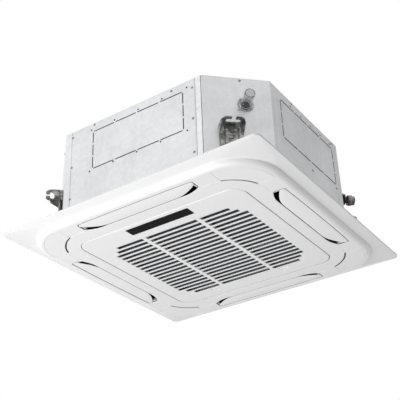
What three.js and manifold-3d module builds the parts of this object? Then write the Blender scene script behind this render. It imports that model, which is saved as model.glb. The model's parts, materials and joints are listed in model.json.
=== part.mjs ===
// Ceiling cassette air conditioner: a sheet-metal body above the ceiling and a square moulded
// panel below it, with a central intake grille and a swinging louver along each side.
// Millimetres, +Z up. The origin is the plan centre of the unit in the plane of the ceiling,
// where the top of the panel's rim bears. The front is -Y and the right is +X.

import * as THREE from 'three';
import { mergeVertices } from 'three/addons/utils/BufferGeometryUtils.js';
import Module from 'manifold-3d';

const wasm = await Module();
wasm.setup();

// ---------------------------------------------------------------- driving dimensions

const RUNNING_GAP = 0.3; // between pieces that touch
const TURNED_STEPS = 20; // facets round a turned piece
const ARC_STEPS = 2; // an arc gets twice as many facets, a curve as many
const FLAT_WITHIN = 0.001; // facets this close to one plane are joined

// body casing, folded from sheet
const BODY_SIDE = 840;
const BODY_BOTTOM = 20;
const BODY_HEIGHT = 300;
const SHEET = 1;
const CHAMFERS = [150, 240, 155, 155]; // front right, back right, back left, front left
const WING = 25; // corner panel's return onto the side faces
const JOGGLE_TAIL = 14; // side panel's tail behind that return
const TOP_FLANGE = 12;

// duct knock-outs in the front and right side panels
const KNOCKOUT_WIDTH = 350;
const KNOCKOUT_HEIGHT = 140;
const KNOCKOUT_LEVEL = 198; // centre above the body's bottom
const KNOCKOUT_SHIFTS = [24, 10];
const PERFORATION = 2.2;
const BRIDGE = 7;

// insulation, coil and drain pan
const LINER_WALL = 20;
const LINER_ROOF = 14;
const DUCT_INNER = 351;
const DUCT_OUTER = 404;
const DUCT_HALF_LENGTH = 214;
const SHORT_DUCT_END = 168; // where two ducts stop short of the wide pipe corner
const COIL_SETBACK = 13; // of the coil from the air passages outside it
const COIL_HALF = DUCT_INNER - COIL_SETBACK;
const COIL_RADIUS = 140;
const COIL_DEPTH = 36;
const COIL_HEIGHT = 208;
const COIL_ENDS = 196; // where the coil stops short of the pipe corner
const END_PLATE = 2;
const PAN_HEIGHT = 60;
const PAN_BORE_HALF = 270;
const PAN_BORE_RADIUS = 130;
const TRENCH_DEPTH = 18;
const TRENCH_CLEARANCE = 6;

// bell mouth, fan and motor
const BELL_PLATE = 3;
const BELL_REBATE = 6;
const THROAT_RADIUS = 178;
const BELL_FLARE = 36;
const BELL_RISE = 52;
const FAN_RADIUS = 245;
const FAN_INLET_RADIUS = 188;
const FAN_BOTTOM = 68;
const FAN_SHROUD_RISE = 40;
const FAN_HEIGHT = 180;
const FAN_WALL = 2.5;
const BLADES = 7;
const BLADE_INNER_RADIUS = 150;
const BLADE_SWEEP = 0.62; // radians between a blade's inner and outer edge
const BLADE_START = 0.065; // radians from the X axis to the first blade
const BLADE_THICKNESS = 5;
const BLADE_CLEARANCE = 14; // above the wheel's inlet, clear of the bell mouth
const HUB_RADIUS = 92;
const HUB_DEPTH = 54;
const HUB_FOOT = 6; // how far the boss stands below the hub's floor
const MOTOR_RADIUS = 70;
const MOTOR_HEIGHT = 92;
const MOTOR_LIFT = 12; // above the hub's floor
const SHAFT_RADIUS = 6;
const SHAFT_DROP = 46; // below the motor
const NUT_HEIGHT = 11;
const MOTOR_FEET = 3;
const MOTOR_PLATE = 3;

// controls and drain
const EBOX_WIDTH = 68;
const EBOX_LENGTH = 340;
const EBOX_HEIGHT = 22;
const EBOX_OVERHANG = 10; // under the flare of the bell mouth
const PUMP_RADIUS = 18;
const PUMP_HEIGHT = 62;
const PUMP_CLEARANCE = 6; // between the pump and the coil's inner face
const SUMP_SLACK = 6; // between a sump's wall and what stands in it
const FLOAT_SETBACK = 10; // of the float from the pump, towards the centre
const FLOAT_OFFSET = 44;
const FLOAT_RADIUS = 12;
const FLOAT_HEIGHT = 16;
const FLOAT_TRAVEL = 12;
const STEM_RADIUS = 3;
const DRAIN_RADIUS = 16;
const DRAIN_WALL = 2;
const DRAIN_LENGTH = 61;
const DRAIN_LEVEL = 222;
const DRAIN_SHIFT = 25; // along the chamfer, from its middle
const FLANGE_RADIUS = 25;
const HOSE_RADIUS = 7.5;

// refrigerant pipes, at the pipe corner
const COVER_PLATE_WIDTH = 250;
const COVER_PLATE_HEIGHT = 130;
const COVER_PLATE_LAP = 6;
const PIPE_LEVELS = [150, 184]; // gas, liquid
const PIPE_SHIFTS = [-98, -66];
const PIPE_RADII = [9.5, 4.8];
const NUT_ACROSS = [36, 22];
const NUT_LENGTHS = [26, 19];
const PIPE_LENGTHS = [44, 34];
const PIPE_INSIDE = 26; // from the chamfer inward
const SLEEVE_WALL = 9;

// hanger brackets
const BOLT_X = 350;
const BOLT_Y = 384;
const JAW_LEVEL = 138;
const JAW_WIDTH = 73;
const JAW_TIP = 20; // beyond the bolt
const JAW_SLOT = [36, 14];
const JAW_GAP = 12;
const BRACKET_SHEET = 3;
const BRACKET_CHANNEL = 46;
const BRACKET_LIP = 11;
const BRACKET_STAND = 12;

// panel
const PANEL_SIDE = 950;
const PANEL_RADIUS = 18;
const RIM_EDGE = 6;
const RIM_FALL = 6;
const PLATEAU_HALF = 438;
const PLATEAU_RADIUS = 150;
const PLATEAU_DROP = 28;
const STEP_RUN = 20;
const SKIN = 3;
const COLLAR_TOP = 16;
const INTAKE_HALF = 282;
const INTAKE_RADIUS = 40;
const RECESS_DEPTH = 15;
const RIB = 2.5;
const RIB_PITCH = 110;
const BOSS_PLACE = 322;
const BOSS_RADIUS = 7;
const SCREW_RADIUS = 3.2;

// louvers and their openings, measured from the unit's centre outward
const SLOT_HALF_LENGTH = 215;
const SLOT_OUTER = 411;
const SLOT_WIDTH = 58;
const SLOT_STRAIGHT = 160;
const SLOT_TAPER = 18;
const SLOT_BOW = 2.5;
const SLOT_SETBACK = 3;
const LOUVER_GAP = 1.5;
const LOUVER_STRAIGHT = 150;
const LOUVER_TAPER = 26;
const LOUVER_WALL = 3;
const LOUVER_CROWN = 5;
const PIVOT_PLACE = 372;
const PIVOT_LEVEL = -22;
const PIVOT_RADIUS = 2.5;
const LOUVER_MOTOR_RADIUS = 14;
const LOUVER_MOTOR_LENGTH = 19;

// corner covers
const COVER_INNER_HALF = 366;
const COVER_INNER_RADIUS = 130;
const COVER_OUTER_HALF = 416;
const COVER_OUTER_RADIUS = 128;
const COVER_END = 283;
const FINGER_SLIT = 5;

// intake grille
const GRILLE_HALF = 308;
const GRILLE_RADIUS = 48;
const GRILLE_GAP = 1.8;
const GRILLE_PROUD = 0.5;
const GRILLE_SKIN = 3;
const GRILLE_WALL = 12;
const GRILLE_EDGE = 3.4; // bevel of the face's edge
const GRILLE_SIDE = 2.5; // thickness of the upstanding wall
const ROWS = 19;
const ROW_PITCH = 24.5;
const FIELD_CENTRE = 6;
const ROW_HALF_LENGTH = 253;
const ROW_STEP = 19; // the rows near both ends are shorter by this, row by row
const SHORT_ROWS = 2;
const LAND = 6.5; // flat face of a slat
const SLAT_WALL = 1.8;
const SLAT_CURVE = 25;
const SLAT_TURN = 0.74; // radians that a slat curls up by
const COLUMN_PLACE = 104;
const COLUMN_WIDTH = 13;
const HINGE_PLACE = 175;
const HINGE_INSET = 7.5; // of the pins from the grille's front edge
const HINGE_RISE = 3.6; // of the pins above the grille's face
const HINGE_PIN = 1.15;
const HINGE_PLAY = 0.3;
const HINGE_KNUCKLE = 12;
const EAR_RADIUS = 2.3;
const EAR_CLEARANCE = 0.4;
const EAR_GAP = 1;
const EAR_WIDTH = 4;
const LATCH_PLACE = 142;
const LATCH_CENTRE = 262;
const LATCH_WIDTH = 34;
const LATCH_DEPTH = 15;
const LATCH_TRAVEL = 6;

// display and filter
const DISPLAY_WIDTH = 236;
const DISPLAY_DEPTH = 40;
const DISPLAY_CENTRE = -272;
const DISPLAY_WALL = 2.6;
const FILTER_HALF = 262;
const FILTER_BAR = 9;
const FILTER_DEPTH = 7;
const FILTER_CELLS = 3; // each way
const FILTER_RIB = 3;

const BODY_HALF = BODY_SIDE / 2;
const BODY_TOP = BODY_BOTTOM + BODY_HEIGHT;
const PANEL_HALF = PANEL_SIDE / 2;
const SIDES = ['front', 'right', 'back', 'left'];
const CORNERS = ['front_right', 'back_right', 'back_left', 'front_left'];
const QUARTER = Math.PI / 2;
const EIGHTH = Math.PI / 4;

// ---------------------------------------------------------------- solids

function solidOf(geometry) {
  const bare = geometry.clone();
  bare.deleteAttribute('normal');
  bare.deleteAttribute('uv');
  const merged = mergeVertices(bare, 1e-4);
  return new wasm.Manifold(new wasm.Mesh({
    numProp: 3,
    vertProperties: new Float32Array(merged.attributes.position.array),
    triVerts: new Uint32Array(merged.index.array),
  }));
}

function geometryOf(solid) {
  const mesh = solid.asOriginal().simplify(FLAT_WITHIN).getMesh();
  const geometry = new THREE.BufferGeometry();
  geometry.setAttribute('position', new THREE.BufferAttribute(mesh.vertProperties, 3));
  geometry.setIndex(new THREE.BufferAttribute(mesh.triVerts, 1));
  geometry.computeVertexNormals();
  return geometry;
}

function join(...geometries) {
  return geometryOf(geometries.map(solidOf).reduce((whole, next) => whole.add(next)));
}

function cut(geometry, ...tools) {
  return geometryOf(tools.map(solidOf).reduce((rest, tool) => rest.subtract(tool), solidOf(geometry)));
}

function common(first, second) {
  return geometryOf(solidOf(first).intersect(solidOf(second)));
}

// ---------------------------------------------------------------- outlines

function outline(points) {
  return new THREE.Shape(points.map(([x, y]) => new THREE.Vector2(x, y)));
}

function rectangle(left, right, low, high) {
  return outline([[left, low], [right, low], [right, high], [left, high]]);
}

function square(half) {
  return rectangle(-half, half, -half, half);
}

function roundedSquare(half, radius) {
  const centre = half - radius;
  const shape = new THREE.Shape();
  shape.absarc(centre, centre, radius, 0, QUARTER);
  shape.absarc(-centre, centre, radius, QUARTER, 2 * QUARTER);
  shape.absarc(-centre, -centre, radius, 2 * QUARTER, 3 * QUARTER);
  shape.absarc(centre, -centre, radius, 3 * QUARTER, 4 * QUARTER);
  shape.closePath();
  return shape;
}

function disc(radius) {
  const shape = new THREE.Shape();
  shape.absarc(0, 0, radius, 0, 2 * Math.PI);
  return shape;
}

// Where the face of the casing, moved in by inset, meets the chamfer: distance from the middle.
function chamferVertex(chamfer, inset) {
  return BODY_HALF - chamfer - inset * (Math.SQRT2 - 1);
}

// Plan outline of the casing, moved in by inset: a square with four unlike chamfers.
function casingOutline(inset) {
  const face = BODY_HALF - inset;
  const [fr, br, bl, fl] = CHAMFERS.map((chamfer) => chamferVertex(chamfer, inset));
  return outline([[-fl, -face], [fr, -face], [face, -fr], [face, br],
    [br, face], [-bl, face], [-face, bl], [-face, -fl]]);
}

// A folded sheet in plan: the points run along its outer face, with the wall to their left.
function foldedSheet(points, thickness) {
  const path = points.map(([x, y]) => new THREE.Vector2(x, y));
  const normals = path.slice(1).map((end, i) => {
    const along = end.clone().sub(path[i]).normalize();
    return new THREE.Vector2(-along.y, along.x);
  });
  const inner = path.map((point, i) => {
    const before = normals[Math.max(i - 1, 0)];
    const after = normals[Math.min(i, normals.length - 1)];
    const mitre = before.clone().add(after).normalize();
    return point.clone().addScaledVector(mitre, thickness / mitre.dot(after));
  });
  return new THREE.Shape([...path, ...inner.reverse()]);
}

// ---------------------------------------------------------------- simple bodies

function prism(shape, low, high, steps = ARC_STEPS) {
  const settings = { depth: high - low, bevelEnabled: false, curveSegments: steps };
  return new THREE.ExtrudeGeometry(shape, settings).translate(0, 0, low);
}

// A prism whose lower edge is rounded off, run in by run over rise; upright above that.
function softPrism(shape, low, high, run, rise, segments, steps = ARC_STEPS) {
  const settings = {
    depth: high - low,
    bevelSize: run,
    bevelThickness: rise,
    bevelOffset: -run,
    bevelSegments: segments,
    curveSegments: steps,
  };
  const whole = new THREE.ExtrudeGeometry(shape, settings).translate(0, 0, low + rise);
  const reach = 2 * PANEL_SIDE;
  return common(whole, prism(rectangle(-reach, reach, -reach, reach), low - 1, high));
}

function ring(outer, inner, low, high, steps = ARC_STEPS) {
  return cut(prism(outer, low, high, steps), prism(inner, low - 1, high + 1, steps));
}

function box(left, right, low, high, bottom, top) {
  return prism(rectangle(left, right, low, high), bottom, top);
}

// A closed profile of radius and level, turned about Z.
function turned(profile, steps) {
  const points = profile.map(([radius, level]) => new THREE.Vector2(radius, level));
  if (THREE.ShapeUtils.isClockWise(points)) points.reverse();
  return new THREE.LatheGeometry([...points, points[0]], steps).rotateX(QUARTER);
}

function post(radius, bottom, top, x = 0, y = 0, steps = 16) {
  const geometry = new THREE.CylinderGeometry(radius, radius, top - bottom, steps);
  return geometry.rotateX(QUARTER).translate(x, y, (bottom + top) / 2);
}

// A cylinder along X, from one place on X to another.
function pin(radius, from, to, y, level, steps = 8) {
  const geometry = new THREE.CylinderGeometry(radius, radius, to - from, steps);
  return geometry.rotateZ(QUARTER).translate((from + to) / 2, y, level);
}

// A profile drawn in Y and Z, carried along X from one place to another.
function bar(shape, from, to, steps = ARC_STEPS) {
  return prism(shape, 0, to - from, steps).rotateX(QUARTER).rotateZ(QUARTER).translate(from, 0, 0);
}

function hose(points, radius, steps) {
  const curve = new THREE.CatmullRomCurve3(points.map(([x, y, z]) => new THREE.Vector3(x, y, z)));
  const settings = { steps, extrudePath: curve, bevelEnabled: false, curveSegments: 4 };
  return new THREE.ExtrudeGeometry(disc(radius), settings);
}

// ---------------------------------------------------------------- assembly

const unit = new THREE.Group();
unit.name = 'ceiling_cassette';

const finishes = {
  galvanised: { color: 0xc3c5c6, roughness: 0.42, metalness: 0.75 },
  zinc: { color: 0x7d7c78, roughness: 0.45, metalness: 0.8 },
  white: { color: 0xf1f1f1, roughness: 0.3, metalness: 0 },
  louver: { color: 0xf5f5f5, roughness: 0.28, metalness: 0 },
  foam: { color: 0xe9e9e6, roughness: 0.9, metalness: 0 },
  darkFoam: { color: 0x2a2b2c, roughness: 0.95, metalness: 0 },
  fins: { color: 0xa9c4d2, roughness: 0.5, metalness: 0.6 },
  copper: { color: 0xb4683f, roughness: 0.35, metalness: 0.95 },
  brass: { color: 0x8d8a7e, roughness: 0.35, metalness: 0.9 },
  black: { color: 0x141312, roughness: 0.15, metalness: 0 },
  grey: { color: 0x8f9496, roughness: 0.55, metalness: 0 },
  net: { color: 0x33383c, roughness: 0.8, metalness: 0 },
  clear: { color: 0xdfe5e8, roughness: 0.12, metalness: 0 },
  steel: { color: 0x9a9c9e, roughness: 0.3, metalness: 0.9 },
  board: { color: 0x1d5a38, roughness: 0.5, metalness: 0 },
};

function place(name, geometry, finish, parent = unit) {
  const material = new THREE.MeshStandardMaterial({ ...finishes[finish], flatShading: true });
  const mesh = new THREE.Mesh(geometry, material);
  mesh.name = name;
  parent.add(mesh);
  return mesh;
}

// A group turned so that its -Y faces the side with this index.
function sideGroup(index) {
  const group = new THREE.Group();
  group.rotation.z = index * QUARTER;
  unit.add(group);
  return group;
}

// A group turned so that its -Y faces out of the corner with this index.
function cornerGroup(index) {
  const group = new THREE.Group();
  group.rotation.z = index * QUARTER + EIGHTH;
  unit.add(group);
  return group;
}

function chamferPlane(index) {
  return (BODY_SIDE - CHAMFERS[index]) / Math.SQRT2;
}

// ---------------------------------------------------------------- casing

const WALL_TOP = BODY_TOP - SHEET - RUNNING_GAP;

function knockoutTools(centre) {
  const level = BODY_BOTTOM + KNOCKOUT_LEVEL;
  const through = [-BODY_HALF - 1, -BODY_HALF + SHEET + 1];
  const tools = [];
  const slots = (count, length, make) => {
    for (let i = 0; i < count; i += 1) {
      const from = -length / 2 + (i * length) / count + BRIDGE / 2;
      tools.push(make(from, from + length / count - BRIDGE));
    }
  };
  for (const edge of [-1, 1]) {
    const row = level + (edge * KNOCKOUT_HEIGHT) / 2;
    const column = centre + (edge * KNOCKOUT_WIDTH) / 2;
    const half = PERFORATION / 2;
    slots(4, KNOCKOUT_WIDTH, (from, to) => box(centre + from, centre + to, ...through, row - half, row + half));
    slots(3, KNOCKOUT_HEIGHT, (from, to) => box(column - half, column + half, ...through, level + from, level + to));
  }
  return tools;
}

function sidePanel(index) {
  const left = -chamferVertex(CHAMFERS[(index + 3) % 4], 0) + WING + RUNNING_GAP;
  const right = chamferVertex(CHAMFERS[index], 0) - WING - RUNNING_GAP;
  const behind = -BODY_HALF + SHEET + RUNNING_GAP;
  const fold = 2 * SHEET;
  const sheet = foldedSheet([
    [left - JOGGLE_TAIL, behind], [left - RUNNING_GAP, behind], [left + fold, -BODY_HALF],
    [right - fold, -BODY_HALF], [right + RUNNING_GAP, behind], [right + JOGGLE_TAIL, behind],
  ], SHEET);
  const panel = prism(sheet, BODY_BOTTOM, WALL_TOP);
  if (index >= KNOCKOUT_SHIFTS.length) return panel;
  return cut(panel, ...knockoutTools((left + right) / 2 + KNOCKOUT_SHIFTS[index]));
}

function cornerPanel(index) {
  const vertex = chamferVertex(CHAMFERS[index], 0);
  return prism(foldedSheet([
    [vertex - WING, -BODY_HALF], [vertex, -BODY_HALF],
    [BODY_HALF, -vertex], [BODY_HALF, -vertex + WING],
  ], SHEET), BODY_BOTTOM, WALL_TOP);
}

// The way for the pipes through the corner, a little smaller than its cover plate.
function pipeWindow(near, far) {
  const half = COVER_PLATE_WIDTH / 2 - COVER_PLATE_LAP;
  const level = (PIPE_LEVELS[0] + PIPE_LEVELS[1]) / 2;
  const rise = COVER_PLATE_HEIGHT / 2 - COVER_PLATE_LAP;
  return box(-half, half, -far, -near, level - rise, level + rise);
}

// Holes through a corner panel, drawn in the corner's own group.
function cornerHoles(index) {
  const plane = chamferPlane(index);
  if (index === 0) {
    return [new THREE.CylinderGeometry(DRAIN_RADIUS + 1, DRAIN_RADIUS + 1, 40, 24)
      .translate(DRAIN_SHIFT, -plane, DRAIN_LEVEL)];
  }
  if (index === 1) {
    return [pipeWindow(plane - 20, plane + 20)];
  }
  return [];
}

function casingTop() {
  const plate = prism(casingOutline(0), BODY_TOP - SHEET, BODY_TOP);
  const inset = SHEET + RUNNING_GAP + SHEET + RUNNING_GAP;
  const flange = ring(casingOutline(inset), casingOutline(inset + SHEET),
    BODY_TOP - TOP_FLANGE, BODY_TOP - SHEET / 2);
  const dish = softPrism(disc(150), 0, 3, 3, 2, 1, 10).rotateX(2 * QUARTER);
  const parts = [plate, flange, dish.translate(0, 0, BODY_TOP + 2.5)];
  for (let i = 0; i < 4; i += 1) {
    const bead = softPrism(rectangle(170, 330, -11, 11), 0, 3, 4, 2, 1).rotateX(2 * QUARTER);
    parts.push(bead.rotateZ(i * QUARTER + EIGHTH).translate(0, 0, BODY_TOP + 2.5));
  }
  return join(...parts);
}

SIDES.forEach((side, index) => {
  place(`side_panel_${side}`, sidePanel(index), 'galvanised', sideGroup(index));
});

CORNERS.forEach((corner, index) => {
  const holes = cornerHoles(index).map((hole) => hole.rotateZ(EIGHTH));
  const panel = holes.length ? cut(cornerPanel(index), ...holes) : cornerPanel(index);
  place(`corner_panel_${corner}`, panel, 'galvanised', sideGroup(index));
});

place('top_plate', casingTop(), 'galvanised');

// ---------------------------------------------------------------- insulation, pan and coil

const PAN_TOP = BODY_BOTTOM + PAN_HEIGHT;
const COIL_BOTTOM = PAN_TOP - TRENCH_DEPTH + RUNNING_GAP;
const COIL_TOP = COIL_BOTTOM + COIL_HEIGHT;
const COIL_CORNER = (COIL_HALF - COIL_RADIUS) * Math.SQRT2 + COIL_RADIUS; // outer face, on the diagonal
const PUMP_REACH = COIL_CORNER - COIL_DEPTH - PUMP_CLEARANCE - PUMP_RADIUS;
const FLOAT_REACH = PUMP_REACH - FLOAT_SETBACK;
const LINING = 3 * (SHEET + RUNNING_GAP); // from the casing's face to the lining's
const LINER_TOP = BODY_TOP - TOP_FLANGE - RUNNING_GAP;
const LINER_LID = LINER_TOP - LINER_ROOF;

// Air passages down through the pan and the seal, two of them shorter beside the pipe corner.
function ductTools(low, high) {
  return SIDES.map((side, i) => box(side === 'back' ? -SHORT_DUCT_END : -DUCT_HALF_LENGTH,
    side === 'right' ? SHORT_DUCT_END : DUCT_HALF_LENGTH, -DUCT_OUTER, -DUCT_INNER, low, high)
    .rotateZ(i * QUARTER));
}

function insulationLiner() {
  const wall = ring(casingOutline(LINING), casingOutline(LINING + LINER_WALL),
    PAN_TOP + RUNNING_GAP, LINER_TOP);
  const lid = prism(casingOutline(LINING), LINER_LID, LINER_TOP);
  const drain = new THREE.CylinderGeometry(DRAIN_RADIUS + 1, DRAIN_RADIUS + 1, 90, 24)
    .translate(DRAIN_SHIFT, -chamferPlane(0), DRAIN_LEVEL).rotateZ(EIGHTH);
  const plane = chamferPlane(1);
  const pipes = pipeWindow(plane - 60, plane + 60).rotateZ(QUARTER + EIGHTH);
  return cut(join(wall, lid), post(MOTOR_RADIUS + 30, LINER_LID - 1, LINER_TOP + 1, 0, 0, TURNED_STEPS), drain, pipes);
}

function drainPan() {
  const slab = prism(casingOutline(LINING), BODY_BOTTOM, PAN_TOP);
  const bore = prism(roundedSquare(PAN_BORE_HALF, PAN_BORE_RADIUS), BODY_BOTTOM - 1, PAN_TOP + 1);
  const rebate = prism(roundedSquare(PAN_BORE_HALF + 12, PAN_BORE_RADIUS + 12),
    BODY_BOTTOM - 1, BODY_BOTTOM + BELL_REBATE);
  const slack = TRENCH_CLEARANCE;
  const trench = ring(roundedSquare(COIL_HALF + slack, COIL_RADIUS + slack),
    roundedSquare(COIL_HALF - COIL_DEPTH - slack, COIL_RADIUS - COIL_DEPTH - slack),
    PAN_TOP - TRENCH_DEPTH, PAN_TOP + 1);
  const sumps = [
    post(PUMP_RADIUS + SUMP_SLACK, PAN_TOP - 2 * TRENCH_DEPTH, PAN_TOP + 1, 0, -PUMP_REACH, 14),
    post(FLOAT_RADIUS + SUMP_SLACK, PAN_TOP - TRENCH_DEPTH, PAN_TOP + 1, FLOAT_OFFSET, -FLOAT_REACH, 12),
  ].map((sump) => sump.rotateZ(EIGHTH));
  return cut(slab, bore, rebate, trench, ...sumps, ...ductTools(BODY_BOTTOM - 1, PAN_TOP + 1));
}

// Rounded square of finned tube, open across the pipe corner.
function coil() {
  const loop = ring(roundedSquare(COIL_HALF, COIL_RADIUS),
    roundedSquare(COIL_HALF - COIL_DEPTH, COIL_RADIUS - COIL_DEPTH), COIL_BOTTOM, COIL_TOP, 4);
  const gap = box(COIL_ENDS, BODY_HALF, COIL_ENDS, BODY_HALF, COIL_BOTTOM - 1, COIL_TOP + 1);
  return cut(loop, gap);
}

function coilEndPlate() {
  const clear = RUNNING_GAP;
  return box(COIL_ENDS + clear, COIL_ENDS + clear + END_PLATE,
    COIL_HALF - COIL_DEPTH - 3, COIL_HALF + 3, COIL_BOTTOM, COIL_TOP);
}

place('insulation_liner', insulationLiner(), 'foam');
place('drain_pan', drainPan(), 'foam');
place('evaporator_coil', coil(), 'fins');
place('coil_end_plate_back', coilEndPlate(), 'galvanised');
const mirroredPlate = place('coil_end_plate_right', coilEndPlate(), 'galvanised');
mirroredPlate.rotation.set(0, Math.PI, 0);
mirroredPlate.rotateZ(QUARTER);
mirroredPlate.position.z = COIL_BOTTOM + COIL_TOP;

// ---------------------------------------------------------------- bell mouth, fan and motor

const BELL_TOP_OF_PLATE = BODY_BOTTOM + BELL_REBATE - RUNNING_GAP;

// Square plate with a throat that curls up out of it on a quarter ellipse.
function bellMouth() {
  const low = BELL_TOP_OF_PLATE - BELL_PLATE;
  const sheet = prism(roundedSquare(PAN_BORE_HALF + 11, PAN_BORE_RADIUS + 11), low, BELL_TOP_OF_PLATE);
  const hole = post(THROAT_RADIUS + BELL_FLARE, low - 1, BELL_TOP_OF_PLATE + 1, 0, 0, TURNED_STEPS);
  const plate = cut(sheet, hole);
  const inner = Array.from({ length: 5 }, (_, i) => {
    const turn = (i / 4) * QUARTER;
    return [THROAT_RADIUS + BELL_FLARE * (1 - Math.sin(turn)),
      low + (BELL_RISE + BELL_PLATE) * (1 - Math.cos(turn))];
  });
  const outer = inner.map(([radius, level]) => [radius + BELL_PLATE, level]);
  outer[0] = [THROAT_RADIUS + BELL_FLARE + 2 * BELL_PLATE, low];
  outer[1] = [THROAT_RADIUS + BELL_FLARE + BELL_PLATE, BELL_TOP_OF_PLATE];
  return join(plate, turned([...inner, ...outer.reverse()], TURNED_STEPS));
}

function fanBlade(angle, top) {
  const steps = 3;
  const side = (offset) => Array.from({ length: steps + 1 }, (_, i) => {
    const share = i / steps;
    const radius = BLADE_INNER_RADIUS + (FAN_RADIUS - 4 - BLADE_INNER_RADIUS) * share;
    const turn = angle + BLADE_SWEEP * share + offset / radius;
    return [radius * Math.cos(turn), radius * Math.sin(turn)];
  });
  const half = BLADE_THICKNESS / 2;
  return prism(outline([...side(-half), ...side(half).reverse()]), FAN_BOTTOM + BLADE_CLEARANCE, top);
}

// Closed centrifugal wheel: inlet shroud below, back plate with a deep hub above, blades between.
function fanImpeller() {
  const back = FAN_BOTTOM + FAN_HEIGHT;
  const floor = back - HUB_DEPTH;
  const wheel = turned([
    [SHAFT_RADIUS + RUNNING_GAP, floor - HUB_FOOT], [22, floor - HUB_FOOT], [26, floor], [HUB_RADIUS - 14, floor],
    [HUB_RADIUS + 4, back - 8], [HUB_RADIUS + 16, back], [FAN_RADIUS, back],
    [FAN_RADIUS, back + FAN_WALL], [HUB_RADIUS + 12, back + FAN_WALL], [HUB_RADIUS, back - 6],
    [HUB_RADIUS - 18, floor + FAN_WALL + 2], [SHAFT_RADIUS + RUNNING_GAP, floor + FAN_WALL + 2],
  ], TURNED_STEPS);
  const shroudLine = (lift) => Array.from({ length: 4 }, (_, i) => {
    const turn = (i / 3) * QUARTER;
    return [FAN_INLET_RADIUS + (FAN_RADIUS - FAN_INLET_RADIUS) * (1 - Math.cos(turn)) - lift,
      FAN_BOTTOM + FAN_SHROUD_RISE * Math.sin(turn) + lift];
  });
  const below = shroudLine(0);
  const above = shroudLine(FAN_WALL);
  above[0][1] = FAN_BOTTOM;
  above[3][0] = FAN_RADIUS;
  const shroud = turned([...below, ...above.reverse()], TURNED_STEPS);
  const shape = shroudLine(FAN_WALL / 2);
  const under = turned([[0, 0], ...shape, [FAN_RADIUS + 40, shape[3][1]], [FAN_RADIUS + 40, 0]], TURNED_STEPS);
  const blades = Array.from({ length: BLADES }, (_, i) => {
    const blade = fanBlade(BLADE_START + (i * 2 * Math.PI) / BLADES, back + FAN_WALL / 2);
    return cut(blade, under);
  });
  return join(wheel, shroud, ...blades);
}

const HUB_FLOOR = FAN_BOTTOM + FAN_HEIGHT - HUB_DEPTH;
const MOTOR_LOW = HUB_FLOOR + MOTOR_LIFT;
const MOTOR_HIGH = MOTOR_LOW + MOTOR_HEIGHT;

function fanMotor() {
  const bore = SHAFT_RADIUS + RUNNING_GAP;
  return turned([
    [bore, MOTOR_LOW], [24, MOTOR_LOW], [MOTOR_RADIUS - 12, MOTOR_LOW + 5], [MOTOR_RADIUS, MOTOR_LOW + 17],
    [MOTOR_RADIUS, MOTOR_HIGH - 30], [MOTOR_RADIUS + 6, MOTOR_HIGH - 28], [MOTOR_RADIUS + 6, MOTOR_HIGH - 20],
    [MOTOR_RADIUS - 6, MOTOR_HIGH], [bore, MOTOR_HIGH],
  ], TURNED_STEPS);
}

function motorBracket() {
  const low = MOTOR_HIGH + RUNNING_GAP;
  const high = low + MOTOR_PLATE;
  const parts = [post(MOTOR_RADIUS + 8, low, high, 0, 0, TURNED_STEPS)];
  for (let i = 0; i < MOTOR_FEET; i += 1) {
    const turn = (i * 2 * Math.PI) / MOTOR_FEET;
    parts.push(box(MOTOR_RADIUS - 30, MOTOR_RADIUS + 24, -13, 13, low, high).rotateZ(turn));
    parts.push(post(8, low, WALL_TOP, MOTOR_RADIUS + 14, 0, 10).rotateZ(turn));
  }
  return join(...parts);
}

function motorShaft() {
  return post(SHAFT_RADIUS, MOTOR_LOW - SHAFT_DROP, MOTOR_HIGH - SHAFT_RADIUS);
}

function fanNut() {
  const top = HUB_FLOOR - HUB_FOOT - RUNNING_GAP;
  return cut(post(2 * SHAFT_RADIUS + 1, top - NUT_HEIGHT, top, 0, 0, 6),
    post(SHAFT_RADIUS + RUNNING_GAP, top - NUT_HEIGHT - 1, top + 1));
}

place('bell_mouth', bellMouth(), 'grey');
place('fan_impeller', fanImpeller(), 'grey');
place('fan_motor', fanMotor(), 'steel');
place('motor_bracket', motorBracket(), 'galvanised');
place('motor_shaft', motorShaft(), 'steel');
place('fan_nut', fanNut(), 'steel');

// ---------------------------------------------------------------- electrical box

const EBOX_TOP = BELL_TOP_OF_PLATE - BELL_PLATE - RUNNING_GAP;
const EBOX_LEFT = THROAT_RADIUS + BELL_FLARE - EBOX_OVERHANG;

function electricalBox() {
  const right = EBOX_LEFT + EBOX_WIDTH;
  const half = EBOX_LENGTH / 2;
  const low = EBOX_TOP - EBOX_HEIGHT;
  return cut(box(EBOX_LEFT, right, -half, half, low, EBOX_TOP),
    box(EBOX_LEFT + SHEET, right - SHEET, -half + SHEET, half - SHEET, low - 1, EBOX_TOP - SHEET));
}

function electricalCover() {
  const right = EBOX_LEFT + EBOX_WIDTH;
  const half = EBOX_LENGTH / 2;
  const top = EBOX_TOP - EBOX_HEIGHT - RUNNING_GAP;
  const lip = SHEET + RUNNING_GAP;
  return join(box(EBOX_LEFT, right, -half, half, top - SHEET, top),
    cut(box(EBOX_LEFT + lip, right - lip, -half + lip, half - lip, top - SHEET, top + 6),
      box(EBOX_LEFT + 2 * lip, right - 2 * lip, -half + 2 * lip, half - 2 * lip, top - SHEET / 2, top + 7)));
}

place('electrical_box', electricalBox(), 'galvanised');
place('electrical_box_cover', electricalCover(), 'galvanised');

// ---------------------------------------------------------------- drain pump, float and outlet

const SUMP_FLOOR = PAN_TOP - 2 * TRENCH_DEPTH;
const PUMP_TOP = SUMP_FLOOR + 12 + PUMP_HEIGHT;
const FLOAT_FLOOR = PAN_TOP - TRENCH_DEPTH + 6; // where the float rests
const STEM_TOP = FLOAT_FLOOR + FLOAT_HEIGHT + FLOAT_TRAVEL + 5;

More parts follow.
